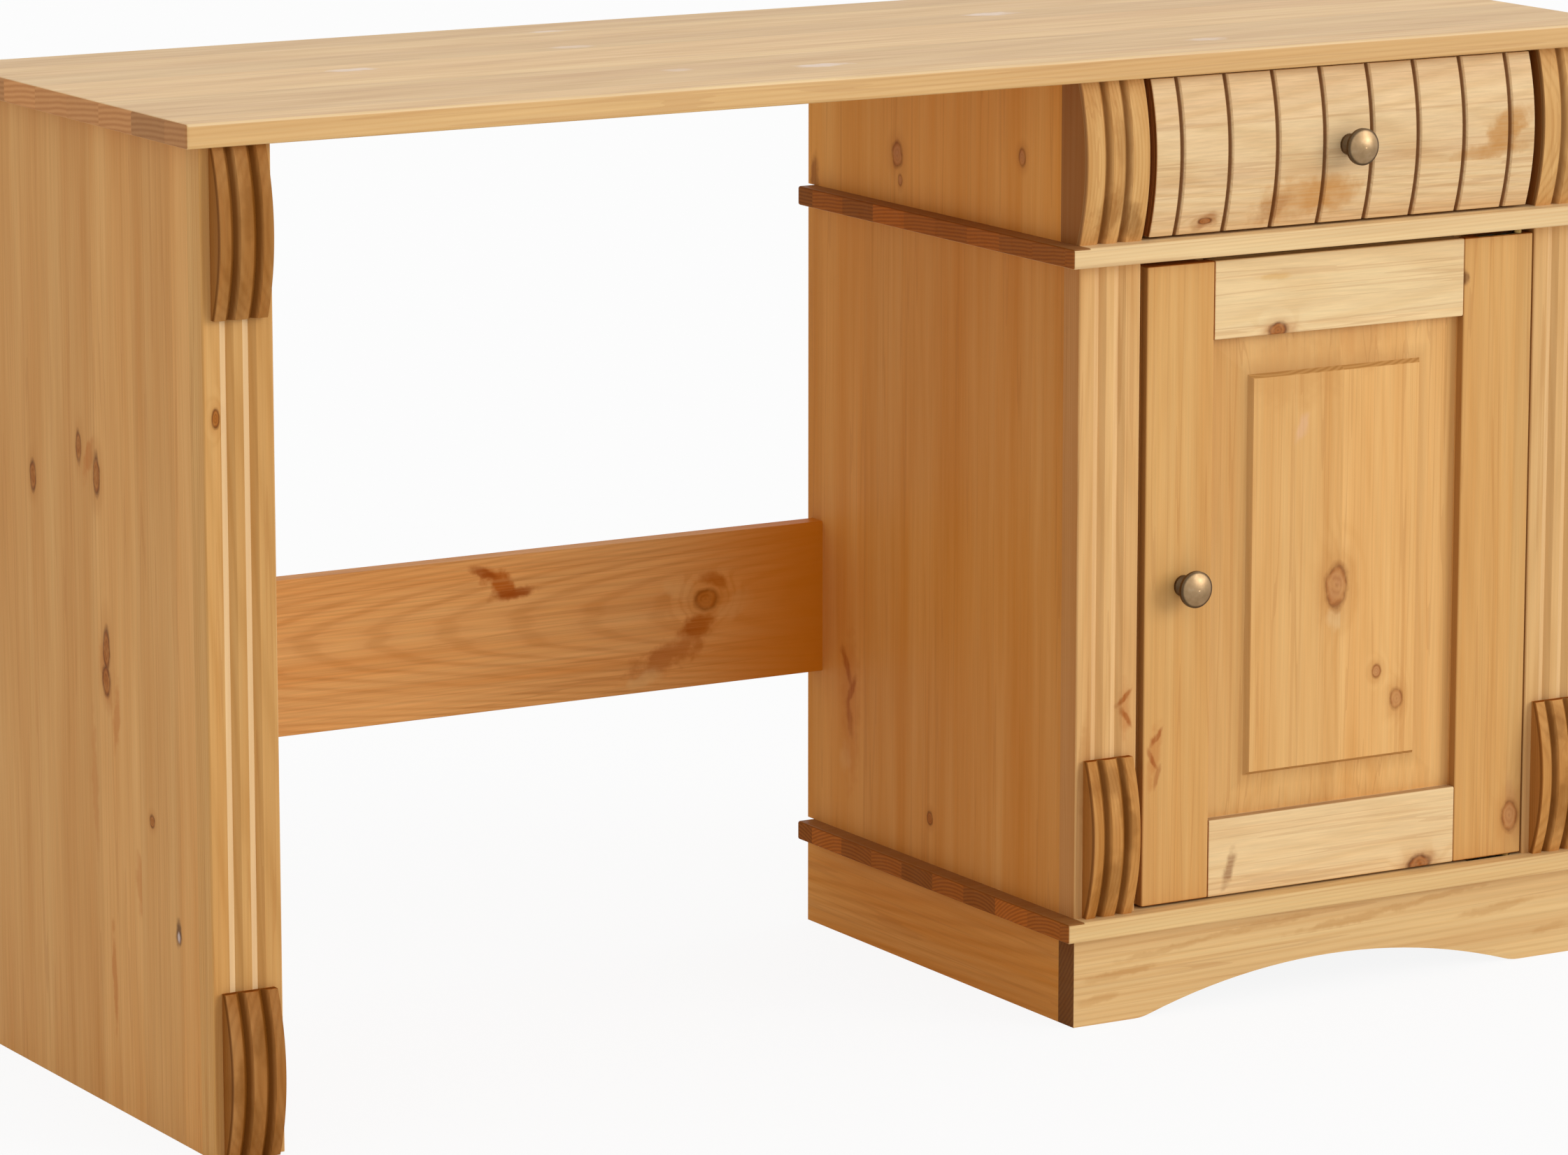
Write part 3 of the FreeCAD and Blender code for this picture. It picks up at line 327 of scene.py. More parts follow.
def pine(name, axes, tone, strip, seed, seam=0.0, ring=2.8, contrast=0.3, streak=0.06, fibre=0.05,
         fibre_length=0.11, band=16.667, variety=0.06, knots=(), hearts=DARK_HEARTS, clouds=(), polish=0.0,
         ends=RED_ENDS, ends_from=0.5, stains_and_painted_light=(), sheen=0.15):
    """Solid pine, planed, sanded and oiled: soft yellow early wood between thin browner late wood lines that
    follow the rings of the trunk, staves of different logs glued edge to edge, knots with the grain bent
    round them, dark thirsty end grain and a satin sheen. axes are the directions along, across and through a
    board, strip is a stave's width and fibre_length a fibre's length in metres, seam is where one stave ends
    and the next begins, ring is the rings' spacing and band a soft band's width in millimetres, and polish
    is how much smoother clouds are."""
    material, tree = new_material(name)
    spot = add(tree, "ShaderNodeTexCoord", out="Object")
    sides = add(tree, "ShaderNodeSeparateXYZ", {0: spot}).node.outputs
    along, across, depth = [sides[letter] for letter in axes]
    whole = add(tree, "ShaderNodeCombineXYZ", {0: along, 1: across, 2: depth})
    uneven = add(tree, "ShaderNodeTexNoise", {"Vector": whole, "Scale": 1 / OUTLINE_WAVE, "Detail": 3.0},
                 out="Color")

    # Staves: each one comes from another log, so it has its own pith and its own shade
    shift = seed - seam / strip
    lane = add(tree, "ShaderNodeMath", {0: across, 1: 1 / strip, 2: shift}, operation="MULTIPLY_ADD")
    number = add(tree, "ShaderNodeMath", {0: lane}, operation="FLOOR")
    within = add(tree, "ShaderNodeMath", {0: lane}, operation="FRACT")
    inside = add(tree, "ShaderNodeMath", {0: within, 1: strip, 2: -strip / 2}, operation="MULTIPLY_ADD")
    luck = add(tree, "ShaderNodeTexWhiteNoise", {"W": number}, out="Color", noise_dimensions="1D")
    chance = add(tree, "ShaderNodeSeparateColor", {0: luck}).node.outputs

    # Rings, bent round the knots, clear in some stretches and calm in others
    nearest = knot_distance(tree, whole, uneven, knots)
    if knots:
        bend = add(tree, "ShaderNodeMapRange",
                   {0: nearest, 1: BEND_REACH[0], 2: BEND_REACH[1], 3: KNOT_BEND, 4: 0.0},
                   interpolation_type="SMOOTHSTEP")
        depth = add(tree, "ShaderNodeMath", {0: depth, 1: bend}, operation="ADD")
    local = add(tree, "ShaderNodeCombineXYZ", {0: along, 1: inside, 2: depth})
    rings = trunk_rings(tree, local, luck, ring)
    grain = add(tree, "ShaderNodeValToRGB", {0: rings})
    set_stops(grain, [(0.0, tone[0]), (0.65, tone[1]), (0.95, tone[2]), (1.0, tone[2])])
    calm = add(tree, "ShaderNodeMapping", {"Vector": whole, "Scale": cells(*CALM_STRETCH)})
    calm = add(tree, "ShaderNodeTexNoise", {"Vector": calm, "Scale": 1.0, "Detail": 2.0}, out="Fac")
    clear = add(tree, "ShaderNodeMapRange",
                {0: calm, 1: LOW, 2: HIGH, 3: contrast * CALM_SHARE, 4: contrast})
    colour = add(tree, "ShaderNodeMix", {0: clear, 6: linear(tone[1]), 7: grain}, out=2, data_type="RGBA")

    # Fibres, long soft bands and the staves' own shades
    fibres = add(tree, "ShaderNodeMapping",
                 {"Vector": whole, "Scale": cells(fibre_length, FIBRE_WIDTH, FIBRE_WIDTH)})
    fibres = add(tree, "ShaderNodeTexNoise",
                 {"Vector": fibres, "Scale": 1.0, "Detail": 3.0, "Roughness": 0.6}, out="Fac")
    bands = add(tree, "ShaderNodeMapping",
                {"Vector": whole, "Scale": cells(BAND_LENGTH, band * MM, band * MM)})
    bands = add(tree, "ShaderNodeTexNoise",
                {"Vector": bands, "Scale": 1.0, "Detail": 5.0, "Roughness": 0.6}, out="Fac")
    shade = add(tree, "ShaderNodeMapRange", {0: fibres, 1: LOW, 2: HIGH, 3: 1 - fibre, 4: 1 + fibre})
    soft = add(tree, "ShaderNodeMapRange", {0: bands, 1: LOW, 2: HIGH, 3: 1 - streak, 4: 1 + streak})
    own = add(tree, "ShaderNodeMapRange", {0: chance[2], 1: 0.0, 2: 1.0, 3: 1 - variety, 4: 1 + variety})
    shade = add(tree, "ShaderNodeMath", {0: shade, 1: soft}, operation="MULTIPLY")
    shade = add(tree, "ShaderNodeMath", {0: shade, 1: own}, operation="MULTIPLY")
    warm = add(tree, "ShaderNodeMapRange",
               {0: bands, 1: BAND_SPAN[0], 2: BAND_SPAN[1], 3: BAND_HUES[0], 4: BAND_HUES[1]})
    rich = add(tree, "ShaderNodeMapRange",
               {0: bands, 1: BAND_SPAN[0], 2: BAND_SPAN[1], 3: BAND_RICHNESS[0], 4: BAND_RICHNESS[1]})
    colour = add(tree, "ShaderNodeHueSaturation",
                 {"Hue": warm, "Saturation": rich, "Value": shade, "Color": colour})

    # Thin reddish threads of resin along the grain
    resin = add(tree, "ShaderNodeMapping",
                {"Vector": whole, "Scale": cells(*RESIN_THREAD), "Location": (seed, 0, 0)})
    resin = add(tree, "ShaderNodeTexNoise", {"Vector": resin, "Scale": 1.0, "Detail": 2.0}, out="Fac")
    thread = add(tree, "ShaderNodeMath", {0: resin, 1: 0.5, 2: THREAD_HALF}, operation="COMPARE")
    faint = add(tree, "ShaderNodeMath", {0: thread, 1: THREAD_SHARE}, operation="MULTIPLY")
    colour = add(tree, "ShaderNodeMix", {0: faint, 6: colour, 7: linear(RESIN)}, out=2, data_type="RGBA")

    # Clouds of browner, redder or paler grain, and the top's clouds of painted sheen, each in one stave and broken
    # up by the fibres
    wild = add(tree, "ShaderNodeMapRange",
               {0: fibres, 1: GAP_SPAN[0], 2: GAP_SPAN[1], 3: GAP_SHARE, 4: 1.0})
    smooth = 0.0
    for cloud_along, cloud_across, reach, spread, turn, share, hue in clouds:
        away = blot(tree, whole, uneven, (cloud_along, cloud_across), (reach, spread), CLOUD_WANDER, turn)
        cloud = add(tree, "ShaderNodeMapRange",
                    {0: away, 1: CLOUD_EDGE[0], 2: CLOUD_EDGE[1], 3: share, 4: 0.0},
                    interpolation_type="SMOOTHSTEP")
        stave = math.floor(cloud_across / strip + shift)
        in_stave = add(tree, "ShaderNodeMath", {0: number, 1: stave, 2: 0.5}, operation="COMPARE")
        cloud = add(tree, "ShaderNodeMath", {0: cloud, 1: wild}, operation="MULTIPLY")
        cloud = add(tree, "ShaderNodeMath", {0: cloud, 1: in_stave}, operation="MULTIPLY")
        colour = add(tree, "ShaderNodeMix", {0: cloud, 6: colour, 7: linear(hue)}, out=2, data_type="RGBA")
        if polish:
            smooth = add(tree, "ShaderNodeMath", {0: cloud, 1: polish, 2: smooth}, operation="MULTIPLY_ADD")
    if knots:
        colour = knots_over(tree, colour, whole, nearest, hearts)

    # End grain drinks more oil, so it is darker and redder
    facing = add(tree, "ShaderNodeSeparateXYZ", {0: spot.node.outputs["Normal"]}, out=axes[0])
    facing = add(tree, "ShaderNodeMath", {0: facing}, operation="ABSOLUTE")
    end = add(tree, "ShaderNodeMapRange",
              {0: facing, 1: ends_from, 2: ends_from + END_TURN, 3: 0.0, 4: END_SHARE})
    cut = add(tree, "ShaderNodeValToRGB", {0: rings})
    set_stops(cut, [(0.0, ends[0]), (0.5, ends[1]), (1.0, ends[2])])
    thirst = add(tree, "ShaderNodeMapRange",
                 {0: chance[1], 1: 0.0, 2: 1.0, 3: END_SHADES[0], 4: END_SHADES[1]})
    cut = add(tree, "ShaderNodeHueSaturation", {"Value": thirst, "Color": cut})
    colour = add(tree, "ShaderNodeMix", {0: end, 6: colour, 7: cut}, out=2, data_type="RGBA")
    colour = stains_and_painted_light_over(tree, colour, spot, stains_and_painted_light)

    rough = add(tree, "ShaderNodeMapRange", {0: fibres, 1: LOW, 2: HIGH, 3: SATIN[0], 4: SATIN[1]})
    rough = add(tree, "ShaderNodeMath", {0: end, 1: END_ROUGHNESS, 2: rough}, operation="MULTIPLY_ADD",
                use_clamp=True)
    if polish:
        rough = add(tree, "ShaderNodeMath", {0: rough, 1: smooth}, operation="SUBTRACT", use_clamp=True)
    relief = add(tree, "ShaderNodeMath", {0: rings, 1: contrast, 2: fibres}, operation="MULTIPLY_ADD")
    bump = add(tree, "ShaderNodeBump", {"Strength": 0.15, "Distance": GRAIN_RELIEF, "Height": relief})
    skin = add(tree, "ShaderNodeBsdfPrincipled",
               {"Base Color": colour, "Roughness": rough, "Normal": bump, "Specular IOR Level": sheen})
    add(tree, "ShaderNodeOutputMaterial", {0: skin})
    return material


# Knots, as (along, across, radius, stretch along the grain) in metres in the desk's frame
LEG_KNOTS = [
    (0.460, 0.111, 0.0055, 2.2),
    (0.494, 0.0285, 0.0045, 2.6),
    (0.478, -0.002, 0.006, 2.6),
    (0.349, -0.014, 0.0055, 3.0),
    (0.325, -0.013, 0.007, 1.6),
    (0.234, -0.088, 0.0042, 1.2),
]
UPPER_SIDE_KNOTS = [
    (0.655, 0.0815, 0.008, 1.3),
    (0.674, -0.103, 0.005, 1.4),
    (0.635, 0.077, 0.003, 1.6),
]
LOWER_SIDE_KNOTS = [
    (0.125, 0.028, 0.004, 1.4),
]
RIGHT_SIDE_KNOTS = [
    (0.431, 0.045, 0.007, 1.5),
    (0.275, -0.092, 0.005, 1.6),
    (0.160, 0.137, 0.006, 1.4),
    (0.690, -0.030, 0.005, 1.4),
]
RAIL_KNOTS = [
    (0.0174, 0.286, 0.0085, 1.25),
]
PANEL_KNOTS = [
    (0.326, 0.3726, 0.0105, 1.7),
    (0.253, 0.4125, 0.0045, 1.2),
    (0.229, 0.432, 0.006, 1.5),
]
DOOR_RAIL_KNOTS = [
    (0.3115, 0.536, 0.006, 1.5),
    (0.456, 0.0915, 0.007, 1.6),
]
STILE_KNOTS = [
    (0.121, 0.544, 0.008, 1.6),
]
LEG_PILASTER_KNOTS = [
    (0.546, -0.6035, 0.003, 2.4),
]
DRAWER_KNOTS = [
    (0.2386, 0.627, 0.0025, 2.6),
]

# Clouds, as (along, across, half length, half width, turn in degrees, share, hue)
FLAME = "#b25a0a"
EMBER = "#9c4a08"
# A pale painted sheen, for the knots on the top
PAINTED_SHEEN = "#e8cab2"
LEG_CLOUDS = [
    (0.488, 0.012, 0.022, 0.007, -25, 0.5, FLAME),
    (0.33, -0.012, 0.03, 0.009, 12, 0.45, FLAME),
    (0.159, -0.130, 0.012, 0.0058, 0, 0.95, "#472a20"),
    (0.156, -0.130, 0.005, 0.0026, 0, 0.9, "#dcc6bc"),
    (0.103, -0.018, 0.046, 0.0045, 3, 0.5, FLAME),
    (0.179, -0.068, 0.026, 0.010, 10, 0.4, FLAME),
    (0.300, -0.030, 0.030, 0.006, -8, 0.4, FLAME),
    (0.240, 0.010, 0.060, 0.006, 2, 0.3, FLAME),
]
RAIL_CLOUDS = [
    (-0.171, 0.318, 0.024, 0.010, -38, 0.9, FLAME),
    (-0.160, 0.309, 0.024, 0.006, 4, 0.9, EMBER),
    (-0.186, 0.328, 0.014, 0.005, -25, 0.8, EMBER),
    (0.044, 0.279, 0.022, 0.010, 30, 0.5, "#eabf80"),
    (-0.006, 0.295, 0.020, 0.009, -20, 0.4, "#eabf80"),
    (0.026, 0.301, 0.016, 0.007, -20, 0.85, EMBER),
    (0.010, 0.265, 0.020, 0.011, 15, 0.95, EMBER),
    (-0.018, 0.243, 0.045, 0.013, 22, 0.6, EMBER),
    (-0.040, 0.226, 0.020, 0.008, 20, 0.5, "#eabf80"),
]
# The top's clouds are painted sheen where its knots shine, and the polish makes them smoother too
TOP_CLOUDS = [
    (-0.386, 0.025, 0.022, 0.009, 0, 0.8, PAINTED_SHEEN),
    (-0.174, 0.070, 0.020, 0.009, 0, 0.5, PAINTED_SHEEN),
    (-0.067, -0.128, 0.026, 0.010, 0, 0.9, PAINTED_SHEEN),
    (-0.140, 0.169, 0.018, 0.008, 0, 0.6, PAINTED_SHEEN),
    (-0.175, -0.099, 0.016, 0.008, 0, 0.4, PAINTED_SHEEN),
    (0.224, 0.0955, 0.026, 0.011, 0, 0.8, PAINTED_SHEEN),
    (0.275, -0.1356, 0.020, 0.010, 0, 0.6, PAINTED_SHEEN),
]
SIDE_CLOUDS = [
    (0.19, 0.152, 0.075, 0.017, 0, 0.3, FLAME),
    (0.226, 0.158, 0.020, 0.006, 28, 0.7, EMBER),
    (0.208, 0.150, 0.016, 0.005, -30, 0.7, EMBER),
    (0.186, 0.154, 0.018, 0.006, 12, 0.6, EMBER),
    (0.150, 0.160, 0.016, 0.010, 0, 0.3, "#e0ae6e"),
]
BAY_CLOUDS = [
    (0.624, 0.210, 0.018, 0.008, 0, 0.75, "#8a4a10"),
    (0.655, 0.0815, 0.016, 0.005, 0, 0.4, EMBER),
]
DRAWER_CLOUDS = [
    (0.325, 0.641, 0.050, 0.020, 12, 0.62, "#c98a42"),
    (0.300, 0.634, 0.022, 0.010, 30, 0.5, "#a8692c"),
    (0.520, 0.681, 0.030, 0.013, 38, 0.75, "#c08238"),
    (0.500, 0.664, 0.040, 0.008, 6, 0.65, "#c08238"),
    (0.352, 0.640, 0.032, 0.016, 4, 0.6, "#c98a42"),
    (0.240, 0.627, 0.014, 0.006, 25, 0.6, "#9c5c22"),
]
APRON_STROKE = "#bb8444"
APRON_CLOUDS = [
    (0.170, 0.038, 0.045, 0.004, 5, 0.45, APRON_STROKE),
    (0.215, 0.052, 0.055, 0.003, 5, 0.4, APRON_STROKE),
    (0.300, 0.060, 0.070, 0.003, 4, 0.4, APRON_STROKE),
    (0.390, 0.054, 0.060, 0.004, 5, 0.45, APRON_STROKE),
    (0.470, 0.062, 0.055, 0.003, 6, 0.4, APRON_STROKE),
    (0.535, 0.046, 0.045, 0.004, 5, 0.45, APRON_STROKE),
    (0.150, 0.020, 0.025, 0.004, 8, 0.4, APRON_STROKE),
    (0.585, 0.022, 0.025, 0.004, 8, 0.4, APRON_STROKE),
]
PANEL_CLOUDS = [
    (0.500, 0.33, 0.030, 0.060, 0, 0.35, "#c88d4c"),
    (0.456, 0.338, 0.014, 0.006, 20, 0.32, "#e6b9a4"),
    (0.520, 0.395, 0.025, 0.030, 20, 0.3, "#c08040"),
    (0.300, 0.3726, 0.012, 0.010, 0, 0.5, "#f0cf98"),
]
DOOR_RAIL_CLOUDS = [
    (0.3115, 0.537, 0.016, 0.006, 0, 0.6, "#b06a34"),
    (0.272, 0.110, 0.006, 0.018, -18, 0.75, "#8f5c36"),
    (0.456, 0.092, 0.020, 0.010, 12, 0.5, "#a86a3a"),
    (0.306, 0.578, 0.020, 0.003, 0, 0.5, "#d9a658"),
]
STILE_CLOUDS = [
    (0.21, 0.200, 0.030, 0.006, 10, 0.4, FLAME),
    (0.224, 0.2015, 0.012, 0.003, 32, 0.75, EMBER),
    (0.207, 0.198, 0.011, 0.0026, -28, 0.75, EMBER),
    (0.193, 0.203, 0.012, 0.003, 14, 0.6, EMBER),
    (0.563, 0.4895, 0.008, 0.005, 0, 0.9, "#5e3010"),
    (0.13, 0.545, 0.030, 0.008, -8, 0.4, "#c08a5c"),
]
SMOKE = "#7c4a16"
SIDE_BLOCK_CLOUDS = [
    (0.115, 0.150, 0.030, 0.016, 14, 0.5, SMOKE),
    (0.165, 0.166, 0.030, 0.008, -8, 0.5, SMOKE),
    (0.195, 0.150, 0.016, 0.018, 0, 0.4, SMOKE),
    (0.130, 0.590, 0.036, 0.016, 10, 0.5, SMOKE),
    (0.190, 0.580, 0.020, 0.012, -12, 0.45, SMOKE),
]
LEG_BLOCK_CLOUDS = [
    (0.700, -0.580, 0.030, 0.010, 8, 0.4, SMOKE),
    (0.640, -0.592, 0.030, 0.010, -8, 0.4, SMOKE),
    (0.090, -0.580, 0.022, 0.010, 8, 0.55, SMOKE),
    (0.030, -0.592, 0.030, 0.012, -8, 0.6, SMOKE),
    (0.060, -0.600, 0.018, 0.008, 12, 0.5, SMOKE),
    (0.015, -0.572, 0.020, 0.008, 0, 0.6, SMOKE),
]
BAY_BLOCK_CLOUDS = [
    (0.640, 0.150, 0.026, 0.012, 20, 0.65, "#96602a"),
    (0.632, 0.172, 0.018, 0.010, -15, 0.6, SMOKE),
    (0.690, 0.160, 0.030, 0.008, 0, 0.25, SMOKE),
    (0.640, 0.585, 0.026, 0.016, 20, 0.4, "#96602a"),
]
PILASTER_CLOUDS = [
    (0.25, 0.172, 0.028, 0.006, 0, 0.4, FLAME),
    (0.259, 0.171, 0.012, 0.003, 38, 0.75, EMBER),
    (0.243, 0.173, 0.010, 0.0026, -34, 0.75, EMBER),
    (0.20, 0.135, 0.05, 0.006, 0, 0.35, "#a8692c"),
]

# The raised field of the door panel, and the walls that the ledges stand out from
FIELD_FLAT = 0.05 * MM
panel_corners = [corner.co for corner in board["door_panel"].data.vertices]
panel_front = min(corner.y for corner in panel_corners)
field = [corner for corner in panel_corners if corner.y < panel_front + FIELD_FLAT]
field_low = Vector([min(corner[i] for corner in field) for i in range(3)])
field_high = Vector([max(corner[i] for corner in field) for i in range(3)])
wall_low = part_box("cabinet_side_left")[0]
wall_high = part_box("cabinet_side_right")[1]
behind_fronts = past("Y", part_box("pilaster_left")[0].y)

# How far the bows of the blocks and of the drawer rise over their ends
BLOCK_RISE = 12 * MM
DRAWER_RISE = 11 * MM


def bow(foot, head, front, rise):
    """The arc of a bowed face between two levels, as its radius and the depth and level of its axis."""
    half = (head - foot) / 2
    radius = (half ** 2 + rise ** 2) / (2 * rise)
    return radius, front + radius, (foot + head) / 2


DRAWER_BOW = bow(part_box("mid_board")[1].z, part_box("desk_top")[0].z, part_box("drawer_front")[0].y, DRAWER_RISE)
# Where the painted shade on the back rail's right end begins
RAIL_SHADE_EDGE = -60 * MM

# Stains, painted shade and painted highlights, as (depth, first shows, full, last, clean again, share, hue) with
# the depths in millimetres
RIGHT = Vector((1, 0, 0))
# Painted highlights on the flutes' walls that face the key light, on the pilasters and the leg pilaster
FLUTE_HIGHLIGHT = (looking(RIGHT), 0.28, 0.36, 0.46, 0.56, 0.14, "#ffe6ba")
LEG_FLUTE_HIGHLIGHT = (looking(RIGHT), 0.30, 0.36, 0.42, 0.50, 0.42, "#ffe4b6")
# Painted shade on the flutes' walls turned from the key light
FLUTE_SHADE = (looking(-RIGHT), 0.28, 0.36, 0.46, 0.56, 0.12, "#8a5418")
# Painted highlight along the top's rounded front edge
EDGE_HIGHLIGHT = (looking(Vector((0, -0.707, 0.707))), 0.84, 0.94, 2.0, 3.0, 0.4, "#f8e2b8")
# Painted shade on the pilasters' faces that look left, away from the key light
SIDE_SHADE = (looking(-RIGHT), 0.9, 0.98, 2.0, 3.0, 0.5, "#a8631a")
# Painted shade on the top's front face
FRONT_SHADE = (looking(Vector((0, -1, 0))), 0.9, 0.98, 2.0, 3.0, 0.3, "#c08a48")
# Stain in the door frame's joints, and painted shade on its edges in the gaps round the door
JOINT_STAIN_AND_SHADE = (behind_fronts, 0.25, 1.3, 8.0, 8.5, 0.55, "#7d450e")
# Painted shade round the door panel's raised field, on its step and the bevel beside it
STEP_SHADE = (outside(field_low, field_high, "XZ"), 0.0, 0.8, 2.0, 16.0, 0.24, "#8a5a24")
# Painted shade on the tops of the ledges where they stand out past the pedestal's sides
LEDGE_SHADE = (outside(wall_low, wall_high, "X", upward=True), -1.0, 0.5, 90.0, 99.0, 0.85, "#84490f")
# Painted shade: darker, redder towards the back rail's right end, where the pedestal shades it
RAIL_END_SHADE = (past("X", RAIL_SHADE_EDGE), 0.0, 190.0, 900.0, 901.0, 0.95, "#ca7610")


def groove_stains_and_shade(arc, full, share, side_share):
    """Dark stain in a bowed block's grooves, with painted shade there, and a thinner coat on its sides."""
    deep = under_bow(*arc)
    return [(deep, 0.1, full, 4.2, 4.8, share, GROOVE_STAIN_AND_SHADE), (deep, 4.3, 5.0, 60.0, 61.0, side_share, "#8c4f12")]


def block_stains_and_shade(node, share, side_share):
    """The groove stain and painted shade of a block that bows over its whole height."""
    low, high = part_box(node)
    return groove_stains_and_shade(bow(low.z, high.z, low.y, BLOCK_RISE), 2.4, share, side_share)


dress(pine("oiled_pine_desk_top", "XYZ", TOP, strip=0.055, seed=3, ring=4.0, contrast=0.3, streak=0.08,
           variety=0.09, clouds=TOP_CLOUDS, polish=0.18, ends=TOP_ENDS, stains_and_painted_light=[EDGE_HIGHLIGHT, FRONT_SHADE],
           sheen=0.5),
      "desk_top")
dress(pine("oiled_pine_end_panel", "ZYX", END_PANEL, strip=0.068, seed=11, ring=6.0, contrast=0.08,
           streak=0.08, band=29.412, variety=0.05, knots=LEG_KNOTS, clouds=LEG_CLOUDS, sheen=0.05),
      "leg_panel")
dress(pine("oiled_pine_pedestal_side", "ZYX", SHADED_SIDE, strip=0.066, seed=23, ring=6.0, contrast=0.05,
           streak=0.07, fibre=0.035, band=29.412, variety=0.045, knots=LOWER_SIDE_KNOTS, clouds=SIDE_CLOUDS,
           sheen=0.05),
      "cabinet_side_left")
dress(pine("oiled_pine_right_side", "ZYX", END_PANEL, strip=0.066, seed=27, ring=6.0, contrast=0.08,
           streak=0.07, band=29.412, knots=RIGHT_SIDE_KNOTS),
      "cabinet_side_right", "drawer_case_side_right")
dress(pine("oiled_pine_drawer_bay_side", "ZYX", SHADED_BAY_SIDE, strip=0.066, seed=31, ring=6.0, contrast=0.05,
           streak=0.07, fibre=0.035, band=29.412, variety=0.04, knots=UPPER_SIDE_KNOTS, hearts=PALE_HEARTS,
           clouds=BAY_CLOUDS, sheen=0.05),
      "drawer_case_side_left")
dress(pine("oiled_pine_ledge", "XYZ", PALE, strip=0.047, seed=41, contrast=0.25, stains_and_painted_light=[LEDGE_SHADE],
           sheen=0.05),
      "mid_board")
dress(pine("oiled_pine_low_ledge", "XYZ", APRON, strip=0.047, seed=45, contrast=0.25,
           stains_and_painted_light=[LEDGE_SHADE], sheen=0.05),
      "bottom_board")
dress(pine("oiled_pine_back_rail", "XZY", RAIL, strip=0.2, seed=52, ring=1.3, contrast=0.36, streak=0.06,
           fibre=0.1, knots=RAIL_KNOTS, clouds=RAIL_CLOUDS, stains_and_painted_light=[RAIL_END_SHADE], sheen=0.05),
      "back_rail")
dress(pine("oiled_pine_apron", "XZY", APRON, strip=0.2, seed=63, ring=3.5, clouds=APRON_CLOUDS,
           ends=DARK_ENDS),
      "plinth_apron", "plinth_back")
dress(pine("oiled_pine_plinth_side", "YZX", SHADED_SIDE, strip=0.2, seed=71, contrast=0.35, sheen=0.05),
      "plinth_side_left")
dress(pine("oiled_pine_right_plinth_side", "YZX", END_PANEL, strip=0.2, seed=73, contrast=0.35),
      "plinth_side_right")
dress(pine("oiled_pine_pilaster", "ZXY", PILASTER, strip=0.06, seed=81, contrast=0.2, streak=0.1,
           clouds=PILASTER_CLOUDS, stains_and_painted_light=[FLUTE_HIGHLIGHT, FLUTE_SHADE, SIDE_SHADE], sheen=0.05),
      "pilaster_left", "pilaster_right")
dress(pine("oiled_pine_leg_pilaster", "ZXY", LEG_PILASTER, strip=0.06, seed=83, contrast=0.2, streak=0.1,
           knots=LEG_PILASTER_KNOTS, stains_and_painted_light=[LEG_FLUTE_HIGHLIGHT, FLUTE_SHADE], sheen=0.05),
      "leg_pilaster")
dress(pine("stained_pine_upper_leg_block", "ZXY", BLOCK, strip=1.3, seed=92, contrast=0.2, streak=0.16,
           clouds=LEG_BLOCK_CLOUDS, stains_and_painted_light=block_stains_and_shade("leg_block_upper", 0.8, 0.5), sheen=0.05),
      "leg_block_upper")
dress(pine("stained_pine_lower_leg_block", "ZXY", LOW_BLOCK, strip=1.3, seed=93, contrast=0.2,
           streak=0.16, clouds=LEG_BLOCK_CLOUDS, stains_and_painted_light=block_stains_and_shade("leg_block_lower", 0.88, 0.5),
           sheen=0.05),
      "leg_block_lower")
dress(pine("stained_pine_pilaster_block", "ZXY", SIDE_BLOCK, strip=1.3, seed=95, contrast=0.25,
           streak=0.16, clouds=SIDE_BLOCK_CLOUDS, stains_and_painted_light=block_stains_and_shade("pilaster_block_left", 0.75, 0.45),
           sheen=0.05),
      "pilaster_block_left", "pilaster_block_right")
dress(pine("stained_pine_drawer_block", "ZXY", LIGHT_BLOCK, strip=1.3, seed=97, contrast=0.25,
           streak=0.12, clouds=BAY_BLOCK_CLOUDS, stains_and_painted_light=groove_stains_and_shade(DRAWER_BOW, 3.0, 0.6, 0.8),
           sheen=0.05),
      "drawer_block_left", "drawer_block_right")
dress(pine("oiled_pine_drawer_front", "XZY", DRAWER, strip=0.045, seed=101, seam=0.658, ring=2.4,
           contrast=0.3, fibre=0.09, fibre_length=0.03, variety=0.05, knots=DRAWER_KNOTS,
           clouds=DRAWER_CLOUDS, ends_from=0.8,
           # Dark in the drawer front's grooves: stain gathered there, with painted shade
           stains_and_painted_light=[(under_bow(*DRAWER_BOW), 0.7, 1.9, 3.2, 3.7, 0.88, "#74400e")]),
      "drawer_front")
dress(pine("oiled_pine_door_stile", "ZXY", HONEY, strip=0.09, seed=113, contrast=0.1, knots=STILE_KNOTS,
           hearts=PALE_HEARTS, clouds=STILE_CLOUDS, stains_and_painted_light=[JOINT_STAIN_AND_SHADE]),
      "door_stile_left", "door_stile_right")
dress(pine("oiled_pine_door_rail", "XZY", PALE, strip=0.09, seed=121, ring=3.0, contrast=0.26, fibre=0.07,
           fibre_length=0.04, knots=DOOR_RAIL_KNOTS, clouds=DOOR_RAIL_CLOUDS, stains_and_painted_light=[JOINT_STAIN_AND_SHADE]),
      "door_rail_top", "door_rail_bottom")
dress(pine("oiled_pine_door_panel", "ZXY", PANEL, strip=0.09, seed=131, seam=0.377, contrast=0.12,
           variety=0.1, knots=PANEL_KNOTS, hearts=PALE_HEARTS, clouds=PANEL_CLOUDS, ends=PANEL_ENDS,
           stains_and_painted_light=[STEP_SHADE]),
      "door_panel")
dress(pine("oiled_pine_shelf", "XYZ", HONEY, strip=0.07, seed=141),
      "cupboard_shelf")
